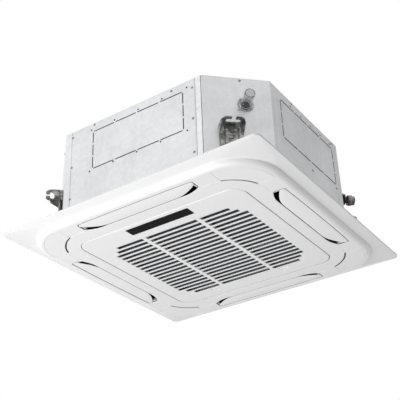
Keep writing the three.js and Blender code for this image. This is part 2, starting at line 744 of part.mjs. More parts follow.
// Pump with its bracket, which also carries the stem that the float slides on.
function drainPump() {
  const body = post(PUMP_RADIUS, SUMP_FLOOR + 12, PUMP_TOP, 0, -PUMP_REACH);
  const intake = post(PUMP_RADIUS / 2, SUMP_FLOOR + RUNNING_GAP, SUMP_FLOOR + 14, 0, -PUMP_REACH, 12);
  const lug = box(-PUMP_RADIUS - 7, FLOAT_OFFSET + 6, -PUMP_REACH - 6, -FLOAT_REACH + 6,
    STEM_TOP - 4, STEM_TOP);
  const spout = post(HOSE_RADIUS - 2, PUMP_TOP - 1, PUMP_TOP + 12, 0, -PUMP_REACH, 10);
  return join(body, intake, lug, spout, floatStem());
}

// From the pump, up and over the coil, and down to the outlet in the chamfer.
function drainHose() {
  const over = (COIL_TOP + LINER_LID) / 2;
  const down = chamferPlane(0) - LINING - LINER_WALL - HOSE_RADIUS - 5;
  return hose([
    [0, -PUMP_REACH, PUMP_TOP + 12 + RUNNING_GAP], [0, -PUMP_REACH, PUMP_TOP + 60],
    [0, -PUMP_REACH, over - 30], [3, -PUMP_REACH - 9, over - 6], [8, -PUMP_REACH - 36, over],
    [13, -down + 14, over - 6], [18, -down - 1, over - 26], [DRAIN_SHIFT, -down, DRAIN_LEVEL + 26],
    [DRAIN_SHIFT, -down - 9, DRAIN_LEVEL + 3], [DRAIN_SHIFT, -down - 28, DRAIN_LEVEL],
  ], HOSE_RADIUS, 20);
}

function floatStem() {
  return join(post(STEM_RADIUS, FLOAT_FLOOR - 4, STEM_TOP - 1, FLOAT_OFFSET, -FLOAT_REACH, 10),
    post(STEM_RADIUS + 4, FLOAT_FLOOR - 4, FLOAT_FLOOR - RUNNING_GAP, FLOAT_OFFSET, -FLOAT_REACH, 10));
}

function floatRing() {
  const top = FLOAT_FLOOR + FLOAT_HEIGHT;
  return cut(post(FLOAT_RADIUS, FLOAT_FLOOR, top, FLOAT_OFFSET, -FLOAT_REACH),
    post(STEM_RADIUS + 0.7, FLOAT_FLOOR - 1, top + 1, FLOAT_OFFSET, -FLOAT_REACH, 10));
}

// Clear stub out of the chamfer: a tube whose inner end, flush with the lining, takes the hose.
function drainOutlet() {
  const plane = chamferPlane(0);
  const inside = LINING + LINER_WALL;
  const tube = turned([
    [DRAIN_RADIUS - DRAIN_WALL, -DRAIN_LENGTH], [DRAIN_RADIUS, -DRAIN_LENGTH],
    [DRAIN_RADIUS, inside], [DRAIN_RADIUS - DRAIN_WALL, inside],
  ], TURNED_STEPS);
  return tube.rotateX(-QUARTER).translate(DRAIN_SHIFT, -plane, DRAIN_LEVEL);
}

function drainFlange() {
  const flange = turned([
    [DRAIN_RADIUS + RUNNING_GAP, -7], [DRAIN_RADIUS + 3, -7], [DRAIN_RADIUS + 3.5, -3],
    [FLANGE_RADIUS, -2.5], [FLANGE_RADIUS, -RUNNING_GAP], [DRAIN_RADIUS + RUNNING_GAP, -RUNNING_GAP],
  ], 16);
  return flange.rotateX(-QUARTER).translate(DRAIN_SHIFT, -chamferPlane(0), DRAIN_LEVEL);
}

const drainCorner = cornerGroup(0);
place('drain_pump', drainPump(), 'grey', drainCorner);
place('drain_hose', drainHose(), 'clear', drainCorner);
place('float_ring', floatRing(), 'foam', drainCorner);
place('drain_outlet', drainOutlet(), 'clear', drainCorner);
place('drain_flange', drainFlange(), 'clear', drainCorner);

// ---------------------------------------------------------------- refrigerant pipes

function pipeCoverPlate() {
  const plane = chamferPlane(1) + RUNNING_GAP;
  const half = COVER_PLATE_WIDTH / 2;
  const level = (PIPE_LEVELS[0] + PIPE_LEVELS[1]) / 2;
  const rise = COVER_PLATE_HEIGHT / 2;
  const plate = box(-half, half, -plane - SHEET, -plane, level - rise, level + rise);
  const holes = PIPE_LEVELS.map((z, i) => new THREE.CylinderGeometry(
    PIPE_RADII[i] + SLEEVE_WALL + 1, PIPE_RADII[i] + SLEEVE_WALL + 1, 20, 14)
    .translate(PIPE_SHIFTS[i], -plane, z));
  return cut(plate, ...holes);
}

// Stub with an insulating sleeve round its root, running straight out of the chamfer.
function pipeStub(i) {
  const plane = chamferPlane(1);
  const tube = turned([
    [0, -PIPE_LENGTHS[i]], [PIPE_RADII[i], -PIPE_LENGTHS[i]], [PIPE_RADII[i], PIPE_INSIDE], [0, PIPE_INSIDE],
  ], 12);
  return tube.rotateX(-QUARTER).translate(PIPE_SHIFTS[i], -plane, PIPE_LEVELS[i]);
}

function pipeSleeve(i) {
  const plane = chamferPlane(1);
  const outer = PIPE_RADII[i] + SLEEVE_WALL;
  const inner = PIPE_RADII[i] + RUNNING_GAP;
  const sleeve = turned([[inner, -PIPE_LENGTHS[i] + 10], [outer - 1, -PIPE_LENGTHS[i] + 10],
    [outer, -PIPE_LENGTHS[i] + 12], [outer, PIPE_INSIDE - 4], [inner, PIPE_INSIDE - 4]], 12);
  return sleeve.rotateX(-QUARTER).translate(PIPE_SHIFTS[i], -plane, PIPE_LEVELS[i]);
}

// Flare nut with a bonnet: a hexagon, a round collar and a domed end.
function flareNut(i) {
  const across = NUT_ACROSS[i];
  const length = NUT_LENGTHS[i];
  const start = PIPE_LENGTHS[i] + RUNNING_GAP;
  const hexagon = new THREE.CylinderGeometry(across / Math.sqrt(3), across / Math.sqrt(3), length * 0.55, 6)
    .rotateX(QUARTER).translate(0, 0, -start - length * 0.275);
  const dome = turned([
    [0, -start - length], [across * 0.3, -start - length], [across * 0.42, -start - length * 0.9],
    [across * 0.44, -start - length * 0.5], [0, -start - length * 0.5],
  ], 16);
  return join(hexagon, dome).rotateX(-QUARTER).translate(PIPE_SHIFTS[i], -chamferPlane(1), PIPE_LEVELS[i]);
}

const pipeCorner = cornerGroup(1);
place('pipe_cover_plate', pipeCoverPlate(), 'galvanised', pipeCorner);
['gas', 'liquid'].forEach((line, i) => {
  place(`${line}_pipe`, pipeStub(i), 'copper', pipeCorner);
  place(`${line}_flare_nut`, flareNut(i), 'brass', pipeCorner);
});
place('gas_pipe_sleeve', pipeSleeve(0), 'darkFoam', pipeCorner);

// ---------------------------------------------------------------- hanger brackets

const BOLT_REACH = (BOLT_X + BOLT_Y) / Math.SQRT2;
const BOLT_SHIFT = (BOLT_X - BOLT_Y) / Math.SQRT2;

// Plan of the jaw: a plate with a slot for the bolt that opens through its tip.
function jawOutline(reach, root) {
  const half = JAW_WIDTH / 2;
  const tip = -reach - JAW_TIP;
  const shoulder = 12;
  const slotHalf = JAW_SLOT[0] / 2;
  const near = -reach + JAW_SLOT[1] / 2;
  const far = -reach - JAW_SLOT[1] / 2;
  const gap = JAW_GAP / 2;
  const shape = new THREE.Shape();
  shape.moveTo(-half, root);
  shape.lineTo(-half, -reach + 4);
  shape.quadraticCurveTo(-half + 3, tip, -half + shoulder + 6, tip);
  shape.lineTo(-gap, tip);
  shape.lineTo(-gap, far);
  shape.lineTo(-slotHalf + 3, far);
  shape.absarc(-slotHalf + 3, (near + far) / 2, (near - far) / 2, -QUARTER, QUARTER, true);
  shape.lineTo(slotHalf - 3, near);
  shape.absarc(slotHalf - 3, (near + far) / 2, (near - far) / 2, QUARTER, -QUARTER, true);
  shape.lineTo(gap, far);
  shape.lineTo(gap, tip);
  shape.lineTo(half - shoulder - 6, tip);
  shape.quadraticCurveTo(half - 3, tip, half, -reach + 4);
  shape.lineTo(half, root);
  shape.closePath();
  return shape;
}

// Pressed channel against the chamfer, with a forked jaw on top and a gusset under each side.
function hangerBracket(index) {
  const shift = index % 2 === 0 ? BOLT_SHIFT : -BOLT_SHIFT;
  const plane = chamferPlane(index) + (index === 1 ? SHEET + 2 * RUNNING_GAP : RUNNING_GAP);
  const reach = BOLT_REACH;
  const channel = BRACKET_CHANNEL / 2;
  const stand = plane + BRACKET_STAND;
  const wall = BRACKET_SHEET;
  const section = foldedSheet([
    [-channel - BRACKET_LIP, -stand], [-channel, -stand], [-channel + wall, -plane - wall],
    [channel - wall, -plane - wall], [channel, -stand], [channel + BRACKET_LIP, -stand],
  ], wall);
  const low = BODY_BOTTOM + 6;
  const upright = prism(section, low, JAW_LEVEL + 0.5);
  const jaw = prism(jawOutline(reach, -plane), JAW_LEVEL, JAW_LEVEL + wall, 2);
  const drop = 0.45 * (reach - plane) + 8;
  const gusset = outline([[-plane - 2, JAW_LEVEL + 1], [-plane - 2, JAW_LEVEL - drop - 14],
    [-stand, JAW_LEVEL - drop], [-reach - 6, JAW_LEVEL - 6], [-reach - 6, JAW_LEVEL + 1]]);
  const half = JAW_WIDTH / 2;
  const sides = [bar(gusset, -half, -half + wall), bar(gusset, half - wall, half)];
  return join(upright, jaw, ...sides).translate(shift, 0, 0);
}

CORNERS.forEach((corner, index) => {
  place(`hanger_bracket_${corner}`, hangerBracket(index), 'zinc', cornerGroup(index));
});

// ---------------------------------------------------------------- panel frame

const FACE = -PLATEAU_DROP;
const PLATEAU_FLAT = PLATEAU_HALF - STEP_RUN;

// Outline of an air outlet, on the front side: straight outer edge with a slight bow, and an
// inner edge that tapers towards both ends. grow moves every edge outward.
function outletOutline(grow, straight, taper) {
  const end = SLOT_HALF_LENGTH + grow;
  const outer = -SLOT_OUTER - grow;
  const inner = -SLOT_OUTER + SLOT_WIDTH + grow;
  const shape = new THREE.Shape();
  shape.moveTo(-end, outer + SLOT_BOW);
  shape.quadraticCurveTo(0, outer - SLOT_BOW, end, outer + SLOT_BOW);
  shape.lineTo(end, inner - taper);
  shape.quadraticCurveTo((end + straight) / 2, inner - taper * 0.1, straight, inner);
  shape.lineTo(-straight, inner);
  shape.quadraticCurveTo(-(end + straight) / 2, inner - taper * 0.1, -end, inner - taper);
  shape.closePath();
  return shape;
}

// Plan of a corner cover, on the front right corner: a quarter ring between two unlike arcs.
// clearance draws every edge in, and slit draws the inner arc back further.
function coverOutline(clearance, slit) {
  const inner = COVER_INNER_HALF - COVER_INNER_RADIUS;
  const innerRadius = COVER_INNER_RADIUS + clearance + slit;
  const outer = COVER_OUTER_HALF - COVER_OUTER_RADIUS;
  const outerRadius = COVER_OUTER_RADIUS - clearance;
  const end = COVER_END + clearance;
  const start = Math.asin((end - inner) / innerRadius);
  const shape = new THREE.Shape();
  shape.absarc(inner, -inner, innerRadius, -start, start - QUARTER, true);
  shape.lineTo(end, -outer - outerRadius);
  shape.absarc(outer, -outer, outerRadius, -QUARTER, 0, false);
  shape.lineTo(outer + outerRadius, -end);
  shape.closePath();
  return shape;
}

function slitOutline() {
  const centre = COVER_INNER_HALF - COVER_INNER_RADIUS;
  const start = Math.asin((COVER_END - centre) / COVER_INNER_RADIUS);
  const shape = new THREE.Shape();
  shape.absarc(centre, -centre, COVER_INNER_RADIUS, -start, start - QUARTER, true);
  shape.absarc(centre, -centre, COVER_INNER_RADIUS + FINGER_SLIT, start - QUARTER, -start, false);
  shape.closePath();
  return shape;
}

// Flat slab whose underside falls gently from the thin outer edge to the foot of the plateau.
function panelRim() {
  const foot = (PLATEAU_HALF - 2) * Math.SQRT2;
  const overlap = 1;
  const edge = PANEL_HALF * Math.SQRT2 * (1 + overlap / RIM_FALL) - (foot * overlap) / RIM_FALL;
  const slope = new THREE.CylinderGeometry(edge, foot, RIM_FALL + overlap, 4)
    .rotateX(QUARTER).rotateZ(EIGHTH).translate(0, 0, -RIM_EDGE + (overlap - RIM_FALL) / 2);
  const square = roundedSquare(PANEL_HALF, PANEL_RADIUS);
  const under = common(slope, prism(square, -RIM_EDGE - RIM_FALL - 1, -RIM_EDGE + overlap));
  return join(prism(square, -RIM_EDGE, 0), under);
}

function panelShell() {
  const plateau = softPrism(roundedSquare(PLATEAU_HALF, PLATEAU_RADIUS), FACE, -1,
    STEP_RUN, PLATEAU_DROP - RIM_EDGE - RIM_FALL + 4, 3, 4);
  const cavity = prism(roundedSquare(PLATEAU_FLAT - SKIN, PLATEAU_RADIUS - STEP_RUN - SKIN),
    FACE + SKIN, 1, 4);
  return cut(join(panelRim(), plateau), cavity);
}

// Upstanding walls and floors inside the shell, moulded with it.
function panelWalls() {
  const walls = [];
  const low = FACE + SKIN / 2;
  const recess = GRILLE_HALF + GRILLE_GAP + SKIN;
  const recessRadius = GRILLE_RADIUS + GRILLE_GAP + SKIN;
  walls.push(prism(roundedSquare(recess, recessRadius), low, FACE + RECESS_DEPTH + SKIN));
  walls.push(prism(roundedSquare(INTAKE_HALF + SKIN, INTAKE_RADIUS + SKIN), low, COLLAR_TOP));
  const grow = SLOT_SETBACK + SKIN;
  const collar = rectangle(-SLOT_HALF_LENGTH - grow, SLOT_HALF_LENGTH + grow,
    -PLATEAU_FLAT + SKIN / 2, -SLOT_OUTER + SLOT_WIDTH + grow);
  SIDES.forEach((side, i) => {
    walls.push(prism(collar, low, COLLAR_TOP).rotateZ(i * QUARTER));
    for (const x of [-RIB_PITCH, 0, RIB_PITCH]) {
      walls.push(box(x - RIB / 2, x + RIB / 2, -SLOT_OUTER + SLOT_WIDTH, -INTAKE_HALF - 1,
        low, -6).rotateZ(i * QUARTER));
    }
    walls.push(prism(coverOutline(-SKIN, 0), low, FACE + 2 * SKIN + 1, 2).rotateZ(i * QUARTER));
    walls.push(post(BOSS_RADIUS, low, COLLAR_TOP, BOSS_PLACE, -BOSS_PLACE, 8).rotateZ(i * QUARTER));
  });
  return walls;
}

function panelCuts() {
  const cuts = [
    prism(roundedSquare(GRILLE_HALF + GRILLE_GAP, GRILLE_RADIUS + GRILLE_GAP), FACE - 1, FACE + RECESS_DEPTH),
    prism(roundedSquare(INTAKE_HALF, INTAKE_RADIUS), FACE - 1, COLLAR_TOP + 1),
  ];
  const bay = rectangle(-SLOT_HALF_LENGTH - SLOT_SETBACK, SLOT_HALF_LENGTH + SLOT_SETBACK,
    -PLATEAU_FLAT + SKIN * 1.5, -SLOT_OUTER + SLOT_WIDTH + SLOT_SETBACK);
  const pocket = FACE + SKIN + RUNNING_GAP;
  SIDES.forEach((side, i) => {
    const turn = i * QUARTER;
    cuts.push(prism(outletOutline(0, SLOT_STRAIGHT, SLOT_TAPER), FACE - 1, FACE + SKIN + 1, 4).rotateZ(turn));
    cuts.push(prism(bay, FACE + SKIN, COLLAR_TOP + 1).rotateZ(turn));
    cuts.push(pin(PIVOT_RADIUS + RUNNING_GAP, -SLOT_HALF_LENGTH - 12, SLOT_HALF_LENGTH + 12,
      -PIVOT_PLACE, PIVOT_LEVEL).rotateZ(turn));
    cuts.push(prism(coverOutline(0, 0), FACE - 1, pocket, 2).rotateZ(turn));
    cuts.push(prism(slitOutline(), FACE - 1, FACE + 4 * SKIN, 2).rotateZ(turn));
    cuts.push(post(SCREW_RADIUS, FACE, COLLAR_TOP + 1, BOSS_PLACE, -BOSS_PLACE, 8).rotateZ(turn));
  });
  return cuts;
}

const HINGE_Y = -GRILLE_HALF + HINGE_INSET;
const GRILLE_FACE = FACE - GRILLE_PROUD;
const HINGE_LEVEL = GRILLE_FACE + HINGE_RISE;

// Two ears on the recess ceiling that carry each hinge pin.
function hingeEars() {
  const ears = [];
  const top = FACE + RECESS_DEPTH + 1;
  const round = EAR_RADIUS;
  const slant = round * Math.SQRT1_2;
  const ear = outline([
    [HINGE_Y - round, HINGE_LEVEL], [HINGE_Y - slant, HINGE_LEVEL - slant], [HINGE_Y, HINGE_LEVEL - round],
    [HINGE_Y + slant, HINGE_LEVEL - slant], [HINGE_Y + round, HINGE_LEVEL], [HINGE_Y + 2 * round, top],
    [HINGE_Y - round, top],
  ]);
  for (const x of [-HINGE_PLACE, HINGE_PLACE]) {
    for (const side of [-1, 1]) {
      const near = x + side * (HINGE_KNUCKLE / 2 + EAR_GAP);
      const far = near + side * EAR_WIDTH;
      ears.push(bar(ear, Math.min(near, far), Math.max(near, far)));
    }
  }
  return ears;
}

const EAR_REACH = HINGE_KNUCKLE / 2 + EAR_GAP + EAR_WIDTH; // of an ear's far side from its hinge

function hingeBores() {
  return [-HINGE_PLACE, HINGE_PLACE].map((x) => pin(HINGE_PIN + HINGE_PLAY, x - EAR_REACH - 2,
    x + EAR_REACH + 2, HINGE_Y, HINGE_LEVEL));
}

function panelFrame() {
  const body = cut(join(panelShell(), ...panelWalls()), ...panelCuts());
  return cut(join(body, ...hingeEars()), ...hingeBores());
}

function panelSeal() {
  const low = COLLAR_TOP + RUNNING_GAP;
  const high = BODY_BOTTOM - RUNNING_GAP;
  const sheet = prism(roundedSquare(PLATEAU_FLAT - 1, PLATEAU_RADIUS - STEP_RUN), low, high);
  return cut(sheet, prism(roundedSquare(INTAKE_HALF, INTAKE_RADIUS), low - 1, high + 1),
    ...ductTools(low - 1, high + 1));
}

place('panel_frame', panelFrame(), 'white');
place('panel_seal', panelSeal(), 'darkFoam');

// ---------------------------------------------------------------- louvers

// Blade section in Y and Z: slightly crowned below, thick in the middle, thin at both edges.
function bladeSection() {
  const outer = -SLOT_OUTER - SLOT_BOW;
  const inner = -SLOT_OUTER + SLOT_WIDTH;
  const middle = (outer + inner) / 2;
  const shape = new THREE.Shape();
  shape.moveTo(outer, FACE + 1);
  shape.quadraticCurveTo(middle, FACE - 1, inner, FACE + 1);
  shape.lineTo(inner, FACE + LOUVER_WALL);
  shape.quadraticCurveTo(middle, FACE + LOUVER_WALL + LOUVER_CROWN, outer, FACE + LOUVER_WALL);
  shape.closePath();
  return shape;
}

// Blade, an ear at each end that rises to the pivot, and a pivot pin on each ear.
function louver() {
  const end = SLOT_HALF_LENGTH - LOUVER_GAP;
  const blade = common(bar(bladeSection(), -end, end, 3),
    prism(outletOutline(-LOUVER_GAP, LOUVER_STRAIGHT, LOUVER_TAPER), FACE - 5, FACE + 20, 4));
  const ear = outline([
    [-SLOT_OUTER + 8, FACE + 2], [-PIVOT_PLACE - 16, FACE + 2], [-PIVOT_PLACE + 2, PIVOT_LEVEL - 4],
    [-PIVOT_PLACE + 4.5, PIVOT_LEVEL + 1], [-PIVOT_PLACE + 1, PIVOT_LEVEL + 5], [-PIVOT_PLACE - 12, PIVOT_LEVEL + 3],
  ]);
  const parts = [blade];
  for (const side of [-1, 1]) {
    const near = side * (end - 6);
    const far = side * (end - 3);
    parts.push(bar(ear, Math.min(near, far), Math.max(near, far)));
    const tip = side * (SLOT_HALF_LENGTH + SLOT_SETBACK + SKIN + 2);
    parts.push(pin(PIVOT_RADIUS, Math.min(near, tip), Math.max(near, tip), -PIVOT_PLACE, PIVOT_LEVEL));
  }
  return join(...parts);
}

// Small can motor on the outside of the outlet's end wall, with a shaft stub towards the louver.
function louverMotor() {
  const wall = SLOT_HALF_LENGTH + SLOT_SETBACK + SKIN + RUNNING_GAP;
  const spigot = SLOT_HALF_LENGTH + SLOT_SETBACK + SKIN + 2 + RUNNING_GAP;
  const level = PIVOT_LEVEL + LOUVER_MOTOR_RADIUS - 1;
  const can = pin(LOUVER_MOTOR_RADIUS, wall, wall + LOUVER_MOTOR_LENGTH, -PIVOT_PLACE, level, 16);
  const bore = pin(PIVOT_RADIUS + 1, wall - 1, spigot, -PIVOT_PLACE, PIVOT_LEVEL);
  const tab = box(wall, wall + 2, -PIVOT_PLACE - 21, -PIVOT_PLACE + 14, level - 4, level + 4);
  return cut(join(can, tab), bore);
}

SIDES.forEach((side, index) => {
  const group = sideGroup(index);
  place(`louver_${side}`, louver(), 'louver', group);
  place(`louver_motor_${side}`, louverMotor(), 'grey', group);
});

// ---------------------------------------------------------------- corner covers

function cornerCover() {
  return prism(coverOutline(0.5, FINGER_SLIT - 0.5), FACE, FACE + SKIN, 2);
}

CORNERS.forEach((corner, index) => {
  place(`corner_cover_${corner}`, cornerCover(), 'white', sideGroup(index));
});

// ---------------------------------------------------------------- intake grille

const FIELD_FRONT = FIELD_CENTRE - (ROWS * ROW_PITCH) / 2;
const SKIN_TOP = GRILLE_FACE + GRILLE_SKIN;

function rowHalfLength(row) {
  const fromEnd = Math.min(row, ROWS - 1 - row);
  return ROW_HALF_LENGTH - ROW_STEP * Math.max(SHORT_ROWS - fromEnd, 0);
}

// Slat section in Y and Z: starts at the face and curls up on an arc.
function slatSection() {
  const arc = (radius) => Array.from({ length: 3 }, (_, i) => {
    const turn = (i / 2) * SLAT_TURN;
    return [LAND + radius * Math.sin(turn), SLAT_CURVE - radius * Math.cos(turn)];
  });
  return outline([[0, 0], ...arc(SLAT_CURVE), ...arc(SLAT_CURVE - SLAT_WALL).reverse(), [0, SLAT_WALL]]);
}

function slatField() {
  const slats = [];
  const slots = [];
  for (let row = 0; row < ROWS; row += 1) {
    const front = FIELD_FRONT + row * ROW_PITCH;
    const half = rowHalfLength(row);
    slots.push(box(-half, half, front + LAND, front + ROW_PITCH, GRILLE_FACE - 1, SKIN_TOP + 1));
    slats.push(bar(slatSection(), -half - 1, half + 1).translate(0, front, GRILLE_FACE));
  }
  return { slats, slots };
}

// Strips of the face that cross the field and carry the slats, which run on behind them.
function columns() {
  const back = FIELD_FRONT + ROWS * ROW_PITCH;
  return [-COLUMN_PLACE, COLUMN_PLACE].map((x) => box(x - COLUMN_WIDTH / 2, x + COLUMN_WIDTH / 2,
    FIELD_FRONT, back, GRILLE_FACE, SKIN_TOP));
}

function latchWindow(x) {
  const half = LATCH_WIDTH / 2 + 0.5;
  return box(x - half, x + half, LATCH_CENTRE - LATCH_DEPTH / 2 - LATCH_TRAVEL - 0.5,
    LATCH_CENTRE + LATCH_DEPTH / 2 + 0.5, GRILLE_FACE - 1, SKIN_TOP + 1);
}

function latchPassage(x) {
  return box(x - 11, x + 11, GRILLE_HALF - 9, GRILLE_HALF + 1, SKIN_TOP + 0.2, SKIN_TOP + 3.4);
}

// Frame of the grille: skin with a softened edge, an upstanding wall, and the two knuckles.
function grilleShell() {
  const top = GRILLE_FACE + GRILLE_WALL;
  const whole = softPrism(roundedSquare(GRILLE_HALF, GRILLE_RADIUS), GRILLE_FACE, top,
    GRILLE_EDGE, GRILLE_EDGE, 1);
  const inside = prism(roundedSquare(GRILLE_HALF - GRILLE_SIDE, GRILLE_RADIUS - GRILLE_SIDE),
    SKIN_TOP, top + 1);
  const knuckle = outline([
    [HINGE_Y - 3, GRILLE_FACE + 0.5], [HINGE_Y + 8, GRILLE_FACE + 0.5], [HINGE_Y + 3, HINGE_LEVEL + 3],
    [HINGE_Y - 2.5, HINGE_LEVEL + 3],
  ]);
  const knuckles = [-HINGE_PLACE, HINGE_PLACE].map((x) => bar(knuckle, x - HINGE_KNUCKLE / 2, x + HINGE_KNUCKLE / 2));
  const room = EAR_REACH + 3;
  const clearances = [-HINGE_PLACE, HINGE_PLACE].map((x) => box(x - room, x + room, -GRILLE_HALF - 1,
    HINGE_Y + 12, HINGE_LEVEL - EAR_RADIUS - EAR_CLEARANCE, top + 1));
  return join(cut(whole, inside, ...clearances), ...knuckles);
}

function intakeGrille() {
  const { slats, slots } = slatField();
  const half = DISPLAY_WIDTH / 2;
  const depth = DISPLAY_DEPTH / 2;
  const bezel = box(-half - 4, half + 4, DISPLAY_CENTRE - depth - 4, DISPLAY_CENTRE + depth + 4,
    GRILLE_FACE + 1, SKIN_TOP + 2.5);
  const pocket = box(-half - RUNNING_GAP, half + RUNNING_GAP, DISPLAY_CENTRE - depth - RUNNING_GAP,
    DISPLAY_CENTRE + depth + RUNNING_GAP, GRILLE_FACE - 1, GRILLE_FACE + DISPLAY_WALL + RUNNING_GAP);
  const sight = box(-half + 6, half - 6, DISPLAY_CENTRE - depth + 6, DISPLAY_CENTRE + depth - 6,
    GRILLE_FACE - 1, SKIN_TOP + 4);
  const openings = [...slots, ...[-1, 1].flatMap((side) => [
    latchWindow(side * LATCH_PLACE), latchPassage(side * LATCH_PLACE)])];
  const shell = cut(join(grilleShell(), bezel), pocket, sight, ...openings);
  const rails = filterRails();
  return cut(join(shell, ...slats, ...columns(), ...rails), ...hingeBores());
}

// Two low rails at the sides of the field that the filter rests on.
function filterRails() {
  const top = GRILLE_FACE + GRILLE_WALL - RUNNING_GAP;
  return [-1, 1].map((side) => {
    const x = side * (FILTER_HALF - FILTER_BAR / 2);
    return box(x - 2, x + 2, -200, 200, SKIN_TOP - 1, top);
  });
}

function hingePin(x) {
  return pin(HINGE_PIN, x - EAR_REACH, x + EAR_REACH, HINGE_Y, HINGE_LEVEL);
}

// Slider with a finger pad in the face and a tongue that runs out through the grille's wall.
function grilleLatch(x) {
  const half = LATCH_WIDTH / 2;
  const front = LATCH_CENTRE - LATCH_DEPTH / 2;
  const back = LATCH_CENTRE + LATCH_DEPTH / 2;
  const pad = cut(box(x - half, x + half, front, back, GRILLE_FACE, SKIN_TOP + 0.6),
    box(x - half + 5, x + half - 5, front + 4, back - 4, GRILLE_FACE - 1, GRILLE_FACE + 1.6));
  const slide = box(x - half - 3, x + half + 3, front + 1, back + 4, SKIN_TOP + RUNNING_GAP, SKIN_TOP + 3);
  const tongue = box(x - 10, x + 10, back, GRILLE_HALF - 0.5, SKIN_TOP + 0.5, SKIN_TOP + 3);
  return join(pad, slide, tongue);
}

place('intake_grille', intakeGrille(), 'white');
[['left', -1], ['right', 1]].forEach(([side, sign]) => {
  place(`hinge_pin_${side}`, hingePin(sign * HINGE_PLACE), 'steel');
  place(`grille_latch_${side}`, grilleLatch(sign * LATCH_PLACE), 'white');
});

// ---------------------------------------------------------------- filter and display

const FILTER_LOW = GRILLE_FACE + GRILLE_WALL;

// Rim with a groove for the net, and a lattice of bars below the net.
function filterFrame() {
  const high = FILTER_LOW + FILTER_DEPTH;
  const groove = prism(square(FILTER_HALF - 3), FILTER_LOW + 2, FILTER_LOW + 4.2);
  const inside = FILTER_HALF - FILTER_BAR;
  const well = prism(square(inside), FILTER_LOW + 1.7, high + 1);
  const cell = (2 * inside + FILTER_RIB) / FILTER_CELLS;
  const cells = [];
  for (let row = 0; row < FILTER_CELLS; row += 1) {
    for (let column = 0; column < FILTER_CELLS; column += 1) {
      const left = column * cell - inside;
      const low = row * cell - inside;
      cells.push(box(left, left + cell - FILTER_RIB, low, low + cell - FILTER_RIB, FILTER_LOW - 1, high));
    }
  }
  return cut(prism(roundedSquare(FILTER_HALF, 6), FILTER_LOW, high, 2), well, groove, ...cells);
}

function filterMesh() {
  return prism(square(FILTER_HALF - 4), FILTER_LOW + 2 + RUNNING_GAP, FILTER_LOW + 4.2 - RUNNING_GAP);
}

function displayWindow() {
  const half = DISPLAY_WIDTH / 2;
  const depth = DISPLAY_DEPTH / 2;
  return box(-half, half, DISPLAY_CENTRE - depth, DISPLAY_CENTRE + depth, GRILLE_FACE, GRILLE_FACE + DISPLAY_WALL);
}

function displayBoard() {
  const half = DISPLAY_WIDTH / 2;
  const depth = DISPLAY_DEPTH / 2;
  const low = SKIN_TOP + 2.5 + RUNNING_GAP;
  const board = box(-half + 3, half - 3, DISPLAY_CENTRE - depth + 1, DISPLAY_CENTRE + depth - 1, low, low + 1.6);
  const receiver = box(60, 74, DISPLAY_CENTRE - 6, DISPLAY_CENTRE + 6, low - 2.5, low + 0.5);
  return join(board, receiver);
}

place('air_filter_frame', filterFrame(), 'grey');
place('air_filter_mesh', filterMesh(), 'net');
place('display_window', displayWindow(), 'black');
place('display_board', displayBoard(), 'board');

export default unit;
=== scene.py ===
"""Ceiling cassette air conditioner, dressed round its solid frame.

The frame gives the sheet-metal body and the inner works. This script adds the moulded skin of the
panel, the slatted grille, the louvers, the pressed brackets, the clear drain stub and the small
fasteners as smooth surfaces worked out with numpy, and gives every piece a procedural finish.
Sizes are in millimetres inside the classes and become metres where a mesh is made.
"""

import json
import logging
import math
from dataclasses import dataclass, field
from enum import Enum
from typing import Any, Callable, Iterable, Sequence

import bmesh
import bpy
import numpy as np
from mathutils import Matrix
from mathutils.geometry import delaunay_2d_cdt


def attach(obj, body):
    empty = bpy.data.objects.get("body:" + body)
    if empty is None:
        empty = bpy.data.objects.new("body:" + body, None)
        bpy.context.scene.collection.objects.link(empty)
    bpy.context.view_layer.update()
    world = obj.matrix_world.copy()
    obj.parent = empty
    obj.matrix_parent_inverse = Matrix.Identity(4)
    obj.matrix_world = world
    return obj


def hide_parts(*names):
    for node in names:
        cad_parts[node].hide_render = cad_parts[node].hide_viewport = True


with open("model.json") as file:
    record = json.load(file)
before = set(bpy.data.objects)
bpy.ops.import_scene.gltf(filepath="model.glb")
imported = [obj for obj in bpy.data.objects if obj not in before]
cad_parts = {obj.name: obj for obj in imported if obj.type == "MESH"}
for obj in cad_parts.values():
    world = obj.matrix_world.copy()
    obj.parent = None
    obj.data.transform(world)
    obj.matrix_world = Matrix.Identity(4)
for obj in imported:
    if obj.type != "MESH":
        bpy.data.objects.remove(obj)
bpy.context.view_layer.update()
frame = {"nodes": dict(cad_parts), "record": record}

LOG = logging.getLogger("cassette")

MM = 0.001
EIGHTH = math.pi / 4
QUARTER = math.pi / 2
FULL = 2 * math.pi

CASING_HALF = 420.0  # half the side of the casing
HINGE = (-300.5, -24.9)  # the grille's hinge line, in Y and Z
HINGE_PLACE = 175.0  # how far along X each of its two pins stands

REPEAT = 1e-6  # a shorter step along a loop, in millimetres, is left out
SAME_CORNER = 1e-5  # nearer corners of a flat face, in millimetres, are one
SAME_POINT = 2e-6  # nearer points of a mesh, in metres, are welded
LEVEL_EDGE = 1e-12  # the rise given to a level edge, so that nothing is divided by 0
MITRE = 0.2  # the least squared length of two added normals, which holds sharp mitres back
SOFT_ROWS = 4  # rows of points round a softened edge
FLAT_LEAD = 90  # how strongly large faces lead the shading beside them

Array = np.ndarray
Color = tuple[float, float, float]
Place = tuple[float, float]
Move = Callable[[Array], Array]


# ------------------------------------------------------------------ shader sockets


